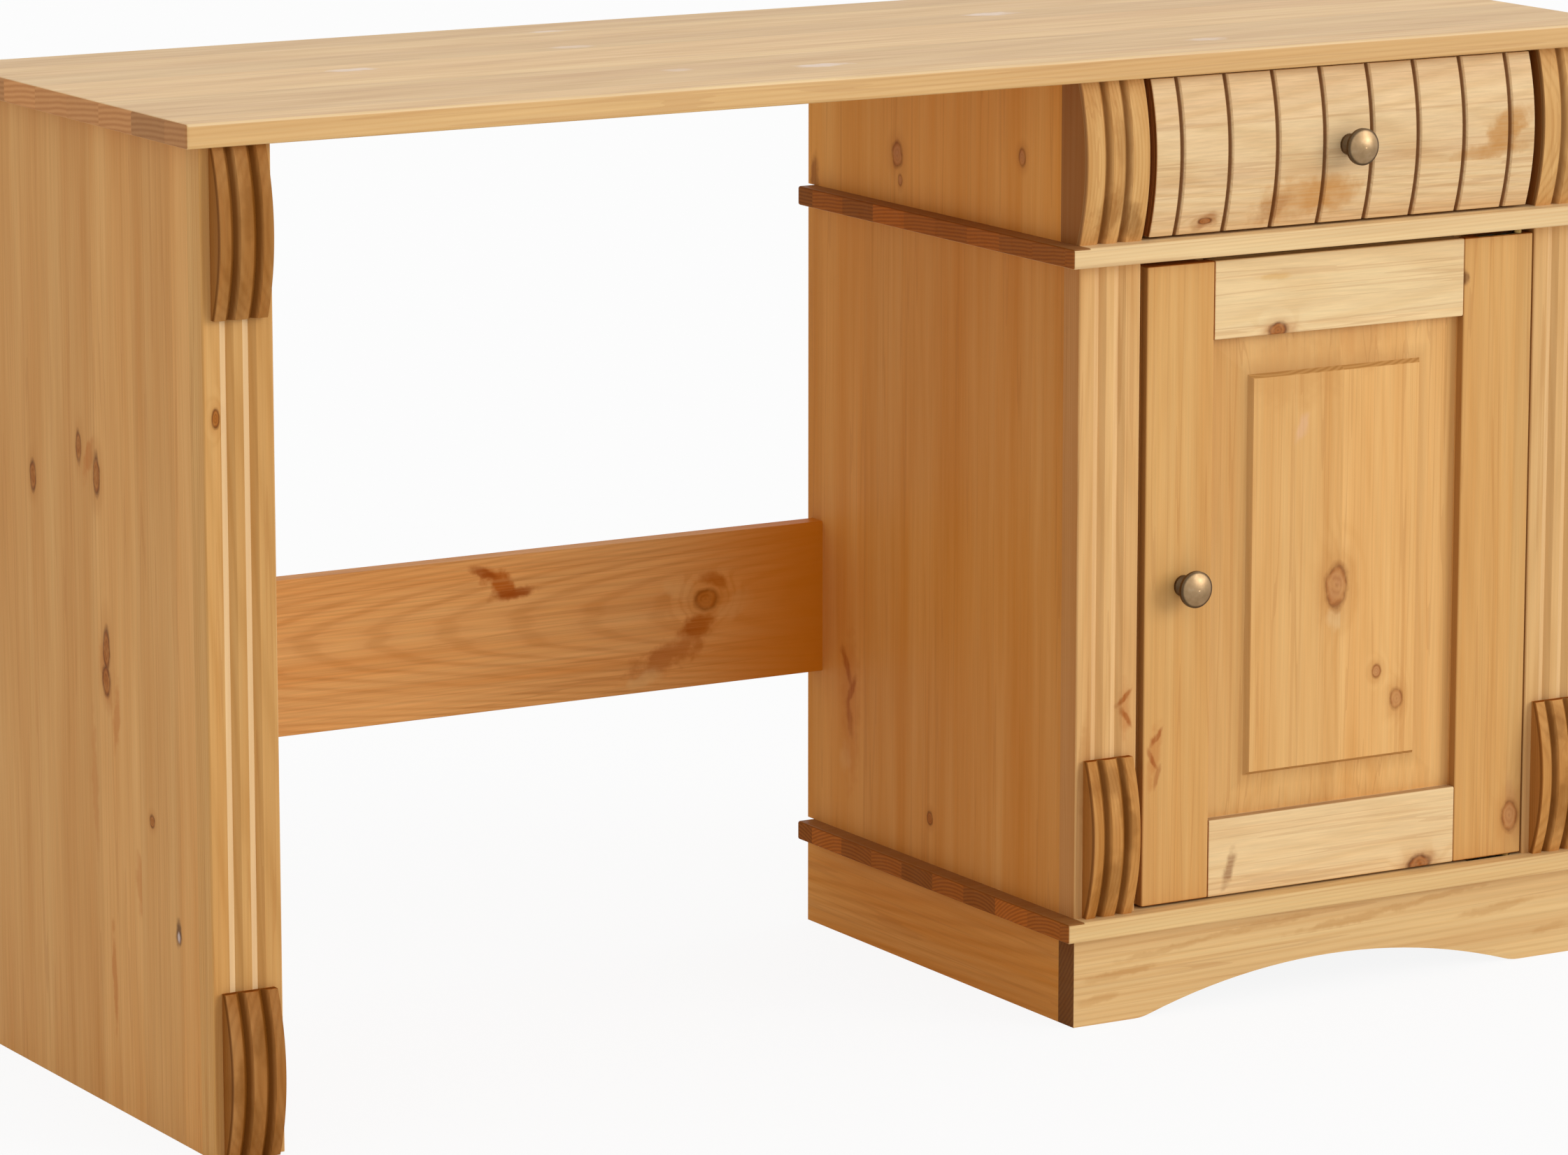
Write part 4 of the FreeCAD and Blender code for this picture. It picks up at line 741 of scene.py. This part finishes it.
dress(pine("raw_pine_drawer_box", "YZX", RAW, strip=0.2, seed=151),
      "drawer_side_left", "drawer_side_right", "drawer_runner_left", "drawer_runner_right",
      "drawer_kicker_left", "drawer_kicker_right", "leg_top_cleat", "drawer_stops")
dress(pine("raw_pine_drawer_back", "XZY", RAW, strip=0.2, seed=161),
      "drawer_back", "plinth_corner_blocks")


# How far the bands that peeling leaves turn over the span of its noise, in radians, and the thickness of a
# pale and a brown ply together
PEEL_BANDS = 55.0
PLY_PAIR = 2.4 * MM
# Cells of patterns: the plywood's lazy grain and its pores, along, across and through the sheet, flecks of
# beech, dull clouds on metal, clouds of patina and the grain of a mould
PEEL_GRAIN = (833.3 * MM, 111.1 * MM, 1)
BIRCH_PORES = (25 * MM, 1.667 * MM, 1)
BEECH_FLECK = 1.4286 * MM
DULL_CLOUD = 6.25 * MM
PATINA_CLOUD = 5.556 * MM
MOULD_GRAIN = 0.625 * MM


def birch_plywood(name, axes):
    """Birch plywood, peeled from the log and sanded: pale cream with wide lazy grain and short darker pores,
    and stripes of brown plies at its edges. axes are the directions along, across and through the sheet."""
    material, tree = new_material(name)
    spot = add(tree, "ShaderNodeTexCoord", out="Object")
    sides = add(tree, "ShaderNodeSeparateXYZ", {0: spot}).node.outputs
    along, across, depth = [sides[letter] for letter in axes]
    whole = add(tree, "ShaderNodeCombineXYZ", {0: along, 1: across})
    lazy = add(tree, "ShaderNodeMapping", {"Vector": whole, "Scale": cells(*PEEL_GRAIN)})
    lazy = add(tree, "ShaderNodeTexNoise",
               {"Vector": lazy, "Scale": 1.0, "Detail": 2.0, "Distortion": 0.5}, out="Fac")
    bands = add(tree, "ShaderNodeMath", {0: lazy, 1: PEEL_BANDS}, operation="MULTIPLY")
    bands = add(tree, "ShaderNodeMath", {0: bands}, operation="SINE")
    face = add(tree, "ShaderNodeValToRGB", {0: add(tree, "ShaderNodeMapRange", {0: bands, 1: -1.0, 2: 1.0})})
    set_stops(face, [(0.0, "#e4c898"), (0.6, "#e0c191"), (1.0, "#d7b581")])
    pores = add(tree, "ShaderNodeMapping", {"Vector": whole, "Scale": cells(*BIRCH_PORES)})
    pores = add(tree, "ShaderNodeTexNoise", {"Vector": pores, "Scale": 1.0, "Detail": 2.0}, out="Fac")
    shade = add(tree, "ShaderNodeMapRange", {0: pores, 1: LOW, 2: HIGH, 3: 0.93, 4: 1.04})
    face = add(tree, "ShaderNodeHueSaturation", {"Value": shade, "Color": face})
    ply = add(tree, "ShaderNodeMath", {0: depth, 1: 2 * math.pi / PLY_PAIR}, operation="MULTIPLY")
    ply = add(tree, "ShaderNodeMath", {0: ply}, operation="SINE")
    plies = add(tree, "ShaderNodeValToRGB", {0: add(tree, "ShaderNodeMapRange", {0: ply, 1: -0.3, 2: 0.3})})
    set_stops(plies, [(0.0, "#d9bd92"), (1.0, "#a9825a")])
    facing = add(tree, "ShaderNodeSeparateXYZ", {0: spot.node.outputs["Normal"]}, out=axes[2])
    facing = add(tree, "ShaderNodeMath", {0: facing}, operation="ABSOLUTE")
    colour = add(tree, "ShaderNodeMix", {0: facing, 6: plies, 7: face}, out=2, data_type="RGBA")
    rough = add(tree, "ShaderNodeMapRange", {0: pores, 1: LOW, 2: HIGH, 3: 0.7, 4: 0.55})
    bump = add(tree, "ShaderNodeBump", {"Strength": 0.2, "Distance": GRAIN_RELIEF, "Height": pores})
    skin = add(tree, "ShaderNodeBsdfPrincipled",
               {"Base Color": colour, "Roughness": rough, "Normal": bump, "Specular IOR Level": 0.2})
    add(tree, "ShaderNodeOutputMaterial", {0: skin})
    return material


def beech(name):
    """Beech dowel, turned and left raw: even pinkish tan with short darker flecks."""
    material, tree = new_material(name)
    spot = add(tree, "ShaderNodeTexCoord", out="Object")
    flecks = add(tree, "ShaderNodeMapping",
                 {"Vector": spot, "Scale": cells(BEECH_FLECK, BEECH_FLECK, BEECH_FLECK)})
    flecks = add(tree, "ShaderNodeTexNoise", {"Vector": flecks, "Scale": 1.0, "Detail": 2.0}, out="Fac")
    colour = add(tree, "ShaderNodeValToRGB", {0: flecks})
    set_stops(colour, [(0.35, "#b98a62"), (0.5, "#d0a47c"), (0.7, "#d8b08a")])
    rough = add(tree, "ShaderNodeMapRange", {0: flecks, 1: LOW, 2: HIGH, 3: 0.65, 4: 0.55})
    skin = add(tree, "ShaderNodeBsdfPrincipled",
               {"Base Color": colour, "Roughness": rough, "Specular IOR Level": 0.2})
    add(tree, "ShaderNodeOutputMaterial", {0: skin})
    return material


# How many times longer than wide a scratch is
SCRATCH_STRETCH = 30


def brushed_metal(name, pale, deep, rough_low, rough_high, spacing):
    """Plain sheet or rolled metal with a soft sheen: fine scratches of one spacing in millimetres, drawn
    coarse enough to show, and slow clouds of a deeper tone where the surface has dulled."""
    material, tree = new_material(name)
    spot = add(tree, "ShaderNodeTexCoord", out="Object")
    fine = 1 / (spacing * MM)
    lines = add(tree, "ShaderNodeMapping", {"Vector": spot, "Scale": (fine / SCRATCH_STRETCH, fine, fine)})
    lines = add(tree, "ShaderNodeTexNoise", {"Vector": lines, "Scale": 1.0, "Detail": 2.0}, out="Fac")
    clouds = add(tree, "ShaderNodeTexNoise",
                 {"Vector": spot, "Scale": 1 / DULL_CLOUD, "Detail": 3.0}, out="Fac")
    colour = add(tree, "ShaderNodeValToRGB", {0: clouds})
    set_stops(colour, [(0.35, deep), (0.6, pale)])
    rough = add(tree, "ShaderNodeMapRange", {0: lines, 1: LOW, 2: HIGH, 3: rough_low, 4: rough_high})
    bump = add(tree, "ShaderNodeBump", {"Strength": 0.15, "Distance": METAL_RELIEF, "Height": lines})
    skin = add(tree, "ShaderNodeBsdfPrincipled",
               {"Base Color": colour, "Metallic": 1.0, "Roughness": rough, "Normal": bump})
    add(tree, "ShaderNodeOutputMaterial", {0: skin})
    return material


# A knob's turning rings, where its patina sets in behind the face, and where painted shade darkens the rim, out
# from the middle
TURNING_RING = 1.1 * MM
NECK = (3.2 * MM, 5.0 * MM)
RIM = (12.2 * MM, 13.4 * MM)


def antique_brass(name, knob):
    """Cast and turned brass, darkened by a brown patina and rubbed back on the crown: warm grey brown on the
    face and nearly black brown in the neck, with painted shade darkening the rim's edge and faint turning
    rings, drawn coarse enough to show."""
    low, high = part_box(knob)
    material, tree = new_material(name)
    spot = add(tree, "ShaderNodeTexCoord", out="Object")
    centred = add(tree, "ShaderNodeMapping", {"Vector": spot, "Location": (low + high) / -2})
    flat = add(tree, "ShaderNodeVectorMath", {0: centred, 1: (1, 0, 1)}, operation="MULTIPLY")
    out = add(tree, "ShaderNodeVectorMath", {0: flat}, out="Value", operation="LENGTH")
    behind = add(tree, "ShaderNodeSeparateXYZ", {0: spot}, out="Y")
    behind = add(tree, "ShaderNodeMath", {0: behind, 1: low.y}, operation="SUBTRACT")
    patina = add(tree, "ShaderNodeTexNoise",
                 {"Vector": spot, "Scale": 1 / PATINA_CLOUD, "Detail": 4.0}, out="Fac")
    face = add(tree, "ShaderNodeValToRGB", {0: patina})
    set_stops(face, [(0.3, "#9f835f"), (0.55, "#ac8e69"), (0.75, "#b79b77")])
    neck = add(tree, "ShaderNodeMapRange", {0: behind, 1: NECK[0], 2: NECK[1], 3: 0.0, 4: 0.75})
    # Painted shade: the rim's edge darkened nearly black brown
    rim = add(tree, "ShaderNodeMapRange", {0: out, 1: RIM[0], 2: RIM[1], 3: 0.0, 4: 0.8})
    dark = add(tree, "ShaderNodeMath", {0: neck, 1: rim}, operation="MAXIMUM")
    colour = add(tree, "ShaderNodeMix", {0: dark, 6: face, 7: linear("#3d2c1c")}, out=2, data_type="RGBA")
    rings = add(tree, "ShaderNodeMath", {0: out, 1: 2 * math.pi / TURNING_RING}, operation="MULTIPLY")
    rings = add(tree, "ShaderNodeMath", {0: rings}, operation="SINE")
    relief = add(tree, "ShaderNodeMath", {0: rings, 1: 0.3, 2: patina}, operation="MULTIPLY_ADD")
    rough = add(tree, "ShaderNodeMapRange", {0: patina, 1: LOW, 2: HIGH, 3: 0.44, 4: 0.36})
    bump = add(tree, "ShaderNodeBump", {"Strength": 0.15, "Distance": METAL_RELIEF, "Height": relief})
    skin = add(tree, "ShaderNodeBsdfPrincipled",
               {"Base Color": colour, "Metallic": 1.0, "Roughness": rough, "Normal": bump})
    add(tree, "ShaderNodeOutputMaterial", {0: skin})
    return material


def moulded_plastic(name):
    """Brown moulded plastic: an even dark brown with a fine spark-eroded grain and a dull sheen."""
    material, tree = new_material(name)
    spot = add(tree, "ShaderNodeTexCoord", out="Object")
    grain = add(tree, "ShaderNodeTexNoise",
                {"Vector": spot, "Scale": 1 / MOULD_GRAIN, "Detail": 2.0}, out="Fac")
    colour = add(tree, "ShaderNodeValToRGB", {0: grain})
    set_stops(colour, [(0.3, "#4a2f1c"), (0.7, "#5a3b25")])
    rough = add(tree, "ShaderNodeMapRange", {0: grain, 1: LOW, 2: HIGH, 3: 0.5, 4: 0.4})
    bump = add(tree, "ShaderNodeBump", {"Strength": 0.3, "Distance": GRAIN_RELIEF, "Height": grain})
    skin = add(tree, "ShaderNodeBsdfPrincipled", {"Base Color": colour, "Roughness": rough, "Normal": bump})
    add(tree, "ShaderNodeOutputMaterial", {0: skin})
    return material


zinc_steel = brushed_metal("zinc_plated_steel", "#c2c4c4", "#9c9fa1", 0.42, 0.3, 0.4)
# The hinges' brass is toned dark as painted shade, for the door gaps it sits in
hinge_brass = brushed_metal("darkened_rolled_brass", "#a0824c", "#7c6234", 0.46, 0.34, 0.5)
dress(birch_plywood("birch_plywood_back", "ZXY"), "back_panel")
dress(birch_plywood("birch_plywood_drawer_bottom", "XYZ"), "drawer_bottom")
dress(beech("raw_beech"), "back_rail_dowels", "bottom_board_dowels", "desk_top_dowels", "mid_board_dowels",
      "drawer_dowels")
dress(zinc_steel, "shelf_pins", "catch_plate", "drawer_knob_screw", "door_knob_screw")
dress(hinge_brass, "hinge_case_leaves", "hinge_door_leaves")
dress(antique_brass("antique_brass_drawer_knob", "drawer_knob"), "drawer_knob")
dress(antique_brass("antique_brass_door_knob", "door_knob"), "door_knob")


def grown(name, mesh, tree, settings):
    """Runs a Geometry Nodes tree on a mesh and gives the result as a plain object at the origin."""
    seed = bpy.data.objects.new(name + "_seed", mesh)
    bpy.context.scene.collection.objects.link(seed)
    modifier = seed.modifiers.new("grow", "NODES")
    modifier.node_group = tree
    for socket in tree.interface.items_tree:
        if socket.in_out == "INPUT" and socket.name in settings:
            modifier[socket.identifier] = settings[socket.name]
    depsgraph = bpy.context.evaluated_depsgraph_get()
    shape = bpy.data.meshes.new_from_object(seed.evaluated_get(depsgraph), depsgraph=depsgraph)
    bpy.data.objects.remove(seed)
    shape.name = name
    piece = bpy.data.objects.new(name, shape)
    bpy.context.scene.collection.objects.link(piece)
    return piece


def new_growth(name, sizes):
    """An empty Geometry Nodes tree with a geometry input, a material input and named sizes in metres."""
    tree = bpy.data.node_groups.new(name, "GeometryNodeTree")
    tree.interface.new_socket("Geometry", in_out="OUTPUT", socket_type="NodeSocketGeometry")
    tree.interface.new_socket("Geometry", in_out="INPUT", socket_type="NodeSocketGeometry")
    tree.interface.new_socket("Material", in_out="INPUT", socket_type="NodeSocketMaterial")
    for size in sizes:
        tree.interface.new_socket(size, in_out="INPUT", socket_type="NodeSocketFloat")
    return tree, add(tree, "NodeGroupInput").node.outputs


# The radii of a screw's tip and of its thread there, and the shank's share of the head's radius
SHANK_TIP = 0.2 * MM
THREAD_TIP = 0.3 * MM
SHANK_SHARE = 0.5
# The bars that cut the cross recess, in shares of the head's radius and height and half sunk in the head,
# and the radii of core and thread in shares of the shank's
BLADE_SPAN = 1.15
BLADE_WIDTH = 0.2
BAR_HEIGHT = 1.1
CORE_SHARE = 0.7
FLANK_SHARE = 0.28
# A brad's flat crown, as a share of its head's radius
BRAD_CROWN = 0.8


def screw_growth():
    """A cross-recessed countersunk screw at each point, driven along the point's own direction."""
    tree, size = new_growth("countersunk_screws", ("Head Radius", "Shank Radius", "Length"))
    cone = add(tree, "ShaderNodeMath", {0: size["Head Radius"], 1: size["Shank Radius"]},
               operation="SUBTRACT")
    head = add(tree, "GeometryNodeMeshCone", {"Vertices": 24, "Radius Bottom": size["Head Radius"],
                                              "Radius Top": size["Shank Radius"], "Depth": cone})
    blade = add(tree, "ShaderNodeMath", {0: size["Head Radius"], 1: BLADE_SPAN}, operation="MULTIPLY")
    width = add(tree, "ShaderNodeMath", {0: size["Head Radius"], 1: BLADE_WIDTH}, operation="MULTIPLY")
    recess = add(tree, "ShaderNodeMath", {0: cone, 1: BAR_HEIGHT}, operation="MULTIPLY")
    bars = []
    for first, second in ((blade, width), (width, blade)):
        side = add(tree, "ShaderNodeCombineXYZ", {0: first, 1: second, 2: recess})
        bars.append(add(tree, "GeometryNodeMeshCube", {"Size": side}))
    head = add(tree, "GeometryNodeMeshBoolean", {"Mesh 1": head, "Mesh 2": bars}, operation="DIFFERENCE")
    core = add(tree, "ShaderNodeMath", {0: size["Shank Radius"], 1: CORE_SHARE}, operation="MULTIPLY")
    reach = add(tree, "ShaderNodeMath", {0: size["Length"], 1: cone}, operation="SUBTRACT")
    shank = add(tree, "GeometryNodeMeshCone",
                {"Vertices": 16, "Radius Bottom": core, "Radius Top": SHANK_TIP, "Depth": reach})
    turns = add(tree, "ShaderNodeMath", {0: reach, 1: size["Shank Radius"]}, operation="DIVIDE")
    thread = add(tree, "GeometryNodeCurveSpiral",
                 {"Resolution": 12, "Rotations": turns, "Start Radius": core, "End Radius": THREAD_TIP,
                  "Height": reach})
    flank = add(tree, "ShaderNodeMath", {0: size["Shank Radius"], 1: FLANK_SHARE}, operation="MULTIPLY")
    profile = add(tree, "GeometryNodeCurvePrimitiveCircle", {"Resolution": 3, "Radius": flank})
    thread = add(tree, "GeometryNodeCurveToMesh",
                 {"Curve": thread, "Profile Curve": profile, "Fill Caps": True})
    lower = add(tree, "ShaderNodeCombineXYZ", {2: cone})
    body = add(tree, "GeometryNodeJoinGeometry", {0: [shank, thread]})
    body = add(tree, "GeometryNodeTransform", {"Geometry": body, "Translation": lower})
    screw = add(tree, "GeometryNodeJoinGeometry", {0: [head, body]})
    drive = add(tree, "GeometryNodeInputNamedAttribute", {"Name": "drive"}, data_type="FLOAT_VECTOR")
    turned = add(tree, "FunctionNodeAlignRotationToVector", {"Vector": drive}, axis="Z")
    screws = add(tree, "GeometryNodeInstanceOnPoints",
                 {"Points": size["Geometry"], "Instance": screw, "Rotation": turned})
    screws = add(tree, "GeometryNodeRealizeInstances", {0: screws})
    screws = add(tree, "GeometryNodeSetMaterial", {"Geometry": screws, "Material": size["Material"]})
    add(tree, "NodeGroupOutput", {0: screws})
    return tree


def brad_growth():
    """Flat round nail heads at even steps along the edges of a mesh that lies in an upright plane."""
    tree, size = new_growth("brads", ("Spacing", "Head Radius", "Head Height"))
    rows = add(tree, "GeometryNodeMeshToCurve", {0: size["Geometry"]})
    rows = add(tree, "GeometryNodeResampleCurve", {"Curve": rows, "Length": size["Spacing"]}, mode="LENGTH")
    crown = add(tree, "ShaderNodeMath", {0: size["Head Radius"], 1: BRAD_CROWN}, operation="MULTIPLY")
    head = add(tree, "GeometryNodeMeshCone", {"Vertices": 16, "Radius Bottom": size["Head Radius"],
                                              "Radius Top": crown, "Depth": size["Head Height"]})
    head = add(tree, "GeometryNodeTransform", {"Geometry": head, "Rotation": (-math.pi / 2, 0, 0)})
    brads = add(tree, "GeometryNodeInstanceOnPoints", {"Points": rows, "Instance": head})
    brads = add(tree, "GeometryNodeRealizeInstances", {0: brads})
    brads = add(tree, "GeometryNodeSetMaterial", {"Geometry": brads, "Material": size["Material"]})
    add(tree, "NodeGroupOutput", {0: brads})
    return tree


# Corners this close are one corner, and corners this close to an end lie in its face
SAME_CORNER = 0.001 * MM
SAME_FACE = 0.01 * MM


def solids_of(node):
    """The separate solids of a CAD node, each as the list of its corners."""
    shape = bmesh.new()
    shape.from_mesh(board[node].data)
    bmesh.ops.remove_doubles(shape, verts=shape.verts, dist=SAME_CORNER)
    waiting = set(shape.verts)
    solids = []
    while waiting:
        edge_of_search = [waiting.pop()]
        found = []
        while edge_of_search:
            corner = edge_of_search.pop()
            found.append(corner.co.copy())
            for edge in corner.link_edges:
                other = edge.other_vert(corner)
                if other in waiting:
                    waiting.discard(other)
                    edge_of_search.append(other)
        solids.append(found)
    shape.free()
    return sorted(solids, key=lambda corners: tuple(min(corners, key=tuple)))


def screw_seat(corners):
    """Where a screw's head lies flush and the direction in which it is driven, from the screw's corners."""
    low = Vector([min(c[i] for c in corners) for i in range(3)])
    high = Vector([max(c[i] for c in corners) for i in range(3)])
    axis = max(range(3), key=lambda i: high[i] - low[i])
    seats = []
    for end, way in ((low[axis], 1), (high[axis], -1)):
        seat = (low + high) / 2
        seat[axis] = end
        wide = max((c - seat).length for c in corners if abs(c[axis] - end) < SAME_FACE)
        drive = Vector((0, 0, 0))
        drive[axis] = way
        seats.append((wide, seat, drive))
    wide, seat, drive = max(seats, key=lambda found: found[0])
    return seat, drive, wide, high[axis] - low[axis]


screw_tree = screw_growth()
for node, body in (("top_screws", "carcass"), ("runner_screws", "carcass"), ("hinge_case_screws", "carcass"),
                   ("hinge_door_screws", "door")):
    found = [screw_seat(corners) for corners in solids_of(node)]
    points = bpy.data.meshes.new(node + "_points")
    points.from_pydata([seat for seat, drive, wide, length in found], [], [])
    drives = points.attributes.new("drive", "FLOAT_VECTOR", "POINT")
    drives.data.foreach_set("vector", [value for seat, drive, wide, length in found for value in drive])
    head_radius = found[0][2]
    shortest = min(length for seat, drive, wide, length in found)
    screws = grown("driven_" + node, points, screw_tree,
                   {"Material": zinc_steel, "Head Radius": head_radius,
                    "Shank Radius": head_radius * SHANK_SHARE, "Length": shortest})
    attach(screws, body)
    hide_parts(node)

# Brads round the cupboard's back panel and along the mid board behind it
BRAD_INSET = 4.6 * MM
BRAD_SPACING = 66 * MM
BRAD_RADIUS = 1.5 * MM
BRAD_HEIGHT = 0.5 * MM
MID_ROW_INSET = 60 * MM
low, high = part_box("back_panel")
mid_low, mid_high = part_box("mid_board")
left, right = low.x + BRAD_INSET, high.x - BRAD_INSET
foot, head = low.z + BRAD_INSET, high.z - BRAD_INSET
middle = (mid_low.z + mid_high.z) / 2
rows = bpy.data.meshes.new("brad_rows")
rows.from_pydata([(left, high.y, foot), (right, high.y, foot), (right, high.y, head), (left, high.y, head),
                  (left + MID_ROW_INSET, high.y, middle), (right - MID_ROW_INSET, high.y, middle)],
                 [(0, 1), (1, 2), (2, 3), (3, 0), (4, 5)], [])
brads = grown("back_panel_brads", rows, brad_growth(),
              {"Material": zinc_steel, "Spacing": BRAD_SPACING, "Head Radius": BRAD_RADIUS,
               "Head Height": BRAD_HEIGHT})
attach(brads, "carcass")


def plate(shape, low, high, edge):
    """Adds a block between two corners, with its edges rounded."""
    made = bmesh.ops.create_cube(shape, size=1.0)["verts"]
    bmesh.ops.scale(shape, vec=high - low, verts=made)
    bmesh.ops.translate(shape, vec=(low + high) / 2, verts=made)
    edges = list({line for corner in made for line in corner.link_edges})
    bmesh.ops.bevel(shape, geom=edges, offset=edge, segments=3, profile=0.5, affect="EDGES")


def from_shape(name, shape, material):
    mesh = bpy.data.meshes.new(name)
    shape.to_mesh(mesh)
    shape.free()
    mesh.materials.append(material)
    piece = bpy.data.objects.new(name, mesh)
    bpy.context.scene.collection.objects.link(piece)
    return piece


# Magnetic catch: a ribbed housing, and two pole plates that stand proud of it towards the strike plate
low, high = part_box("catch_body")
POLE_PROUD = 0.8 * MM
POLE_THICK = 1.5 * MM
POLE_MARGIN = 3.0 * MM
POLE_LEVELS = (0.35, 0.65)
HOUSING_EDGE = 0.8 * MM
FINE_EDGE = 0.2 * MM
RIB_PLACES = (0.25, 0.5, 0.75)
RIB_HALF = 0.8 * MM
RIB_MARGIN = 2 * MM
RIB_ROOT = 0.3 * MM
RIB_PROUD = 0.4 * MM
housing = bmesh.new()
plate(housing, low + Vector((0, POLE_PROUD, 0)), high, HOUSING_EDGE)
for share in RIB_PLACES:
    rib = low.x + share * (high.x - low.x)
    plate(housing, Vector((rib - RIB_HALF, high.y - RIB_ROOT, low.z + RIB_MARGIN)),
          Vector((rib + RIB_HALF, high.y + RIB_PROUD, high.z - RIB_MARGIN)), FINE_EDGE)
housing = from_shape("catch_housing", housing, moulded_plastic("moulded_plastic_catch"))
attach(housing, "carcass")
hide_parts("catch_body")
poles = bmesh.new()
for share in POLE_LEVELS:
    level = low.z + share * (high.z - low.z)
    plate(poles, Vector((low.x + POLE_MARGIN, low.y, level - POLE_THICK / 2)),
          Vector((high.x - POLE_MARGIN, high.y - POLE_MARGIN, level + POLE_THICK / 2)), FINE_EDGE)
poles = from_shape("catch_poles", poles, zinc_steel)
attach(poles, "carcass")

# Camera at the photograph's place, tilted down, with no shift: its focal length in the photograph's pixels,
# its place in metres and its angles in degrees
PHOTO_WIDTH = 2242
FOCAL_PIXELS = 9749.05
SENSOR = 36.0
CAMERA_PLACE = (-2.68006, -4.50305, 1.37492)
CAMERA_TURN = -30.52
CAMERA_TILT = 11.18
FARTHEST = 200.0
camera = bpy.data.objects.new("camera", bpy.data.cameras.new("camera"))
bpy.context.scene.collection.objects.link(camera)
bpy.context.scene.camera = camera
camera.data.sensor_width = SENSOR
camera.data.lens = SENSOR * FOCAL_PIXELS / PHOTO_WIDTH
camera.data.clip_end = FARTHEST
camera.location = CAMERA_PLACE
camera.rotation_euler = (math.pi / 2 - math.radians(CAMERA_TILT), 0.0, math.radians(CAMERA_TURN))

# Floor of white paper: bright to the camera, with the desk's shadow kept pale
FLOOR_HALF = 60
PAPER_GREY = (0.87, 0.87, 0.87, 1)
PAPER_GLOW = 0.9
WHITE = (1, 1, 1, 1)
floor_mesh = bpy.data.meshes.new("floor")
floor_corners = [(x * FLOOR_HALF, y * FLOOR_HALF, 0) for x, y in ((-1, -1), (1, -1), (1, 1), (-1, 1))]
floor_mesh.from_pydata(floor_corners, [], [(0, 1, 2, 3)])
floor = bpy.data.objects.new("floor", floor_mesh)
bpy.context.scene.collection.objects.link(floor)
floor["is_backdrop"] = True
paper, tree = new_material("white_paper")
seen = add(tree, "ShaderNodeLightPath", out="Is Camera Ray")
share = add(tree, "ShaderNodeMath", {0: seen, 1: PAPER_GLOW}, operation="MULTIPLY")
matt = add(tree, "ShaderNodeBsdfDiffuse", {"Color": PAPER_GREY})
bright = add(tree, "ShaderNodeEmission", {"Color": WHITE, "Strength": 1.0})
both = add(tree, "ShaderNodeMixShader", {0: share, 1: matt, 2: bright})
add(tree, "ShaderNodeOutputMaterial", {0: both})
floor_mesh.materials.append(paper)

# Studio light: a broad soft key from the right of the front, in white surroundings
KEY_STRENGTH = 1.1
KEY_SPREAD = 35
KEY_WAY = Vector((-0.64, 0.72, -0.29))
SURROUNDINGS = 0.76
key = bpy.data.objects.new("key", bpy.data.lights.new("key", "SUN"))
bpy.context.scene.collection.objects.link(key)
key.data.energy = KEY_STRENGTH
key.data.angle = math.radians(KEY_SPREAD)
key.rotation_euler = KEY_WAY.to_track_quat("-Z", "Y").to_euler()

world = bpy.data.worlds.new("studio")
bpy.context.scene.world = world
world.use_nodes = True
tree = world.node_tree
tree.nodes.clear()
rays = add(tree, "ShaderNodeLightPath").node.outputs
seen = add(tree, "ShaderNodeMath", {0: rays["Is Camera Ray"], 1: rays["Is Glossy Ray"]}, operation="MAXIMUM")
seen = add(tree, "ShaderNodeMath", {0: seen, 1: rays["Is Transmission Ray"]}, operation="MAXIMUM")
soft = add(tree, "ShaderNodeBackground", {"Color": WHITE, "Strength": SURROUNDINGS})
white = add(tree, "ShaderNodeBackground", {"Color": WHITE, "Strength": 1.0})
both = add(tree, "ShaderNodeMixShader", {0: seen, 1: soft, 2: white})
add(tree, "ShaderNodeOutputWorld", {0: both})

bpy.context.scene.view_settings.view_transform = "Standard"

low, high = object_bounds()
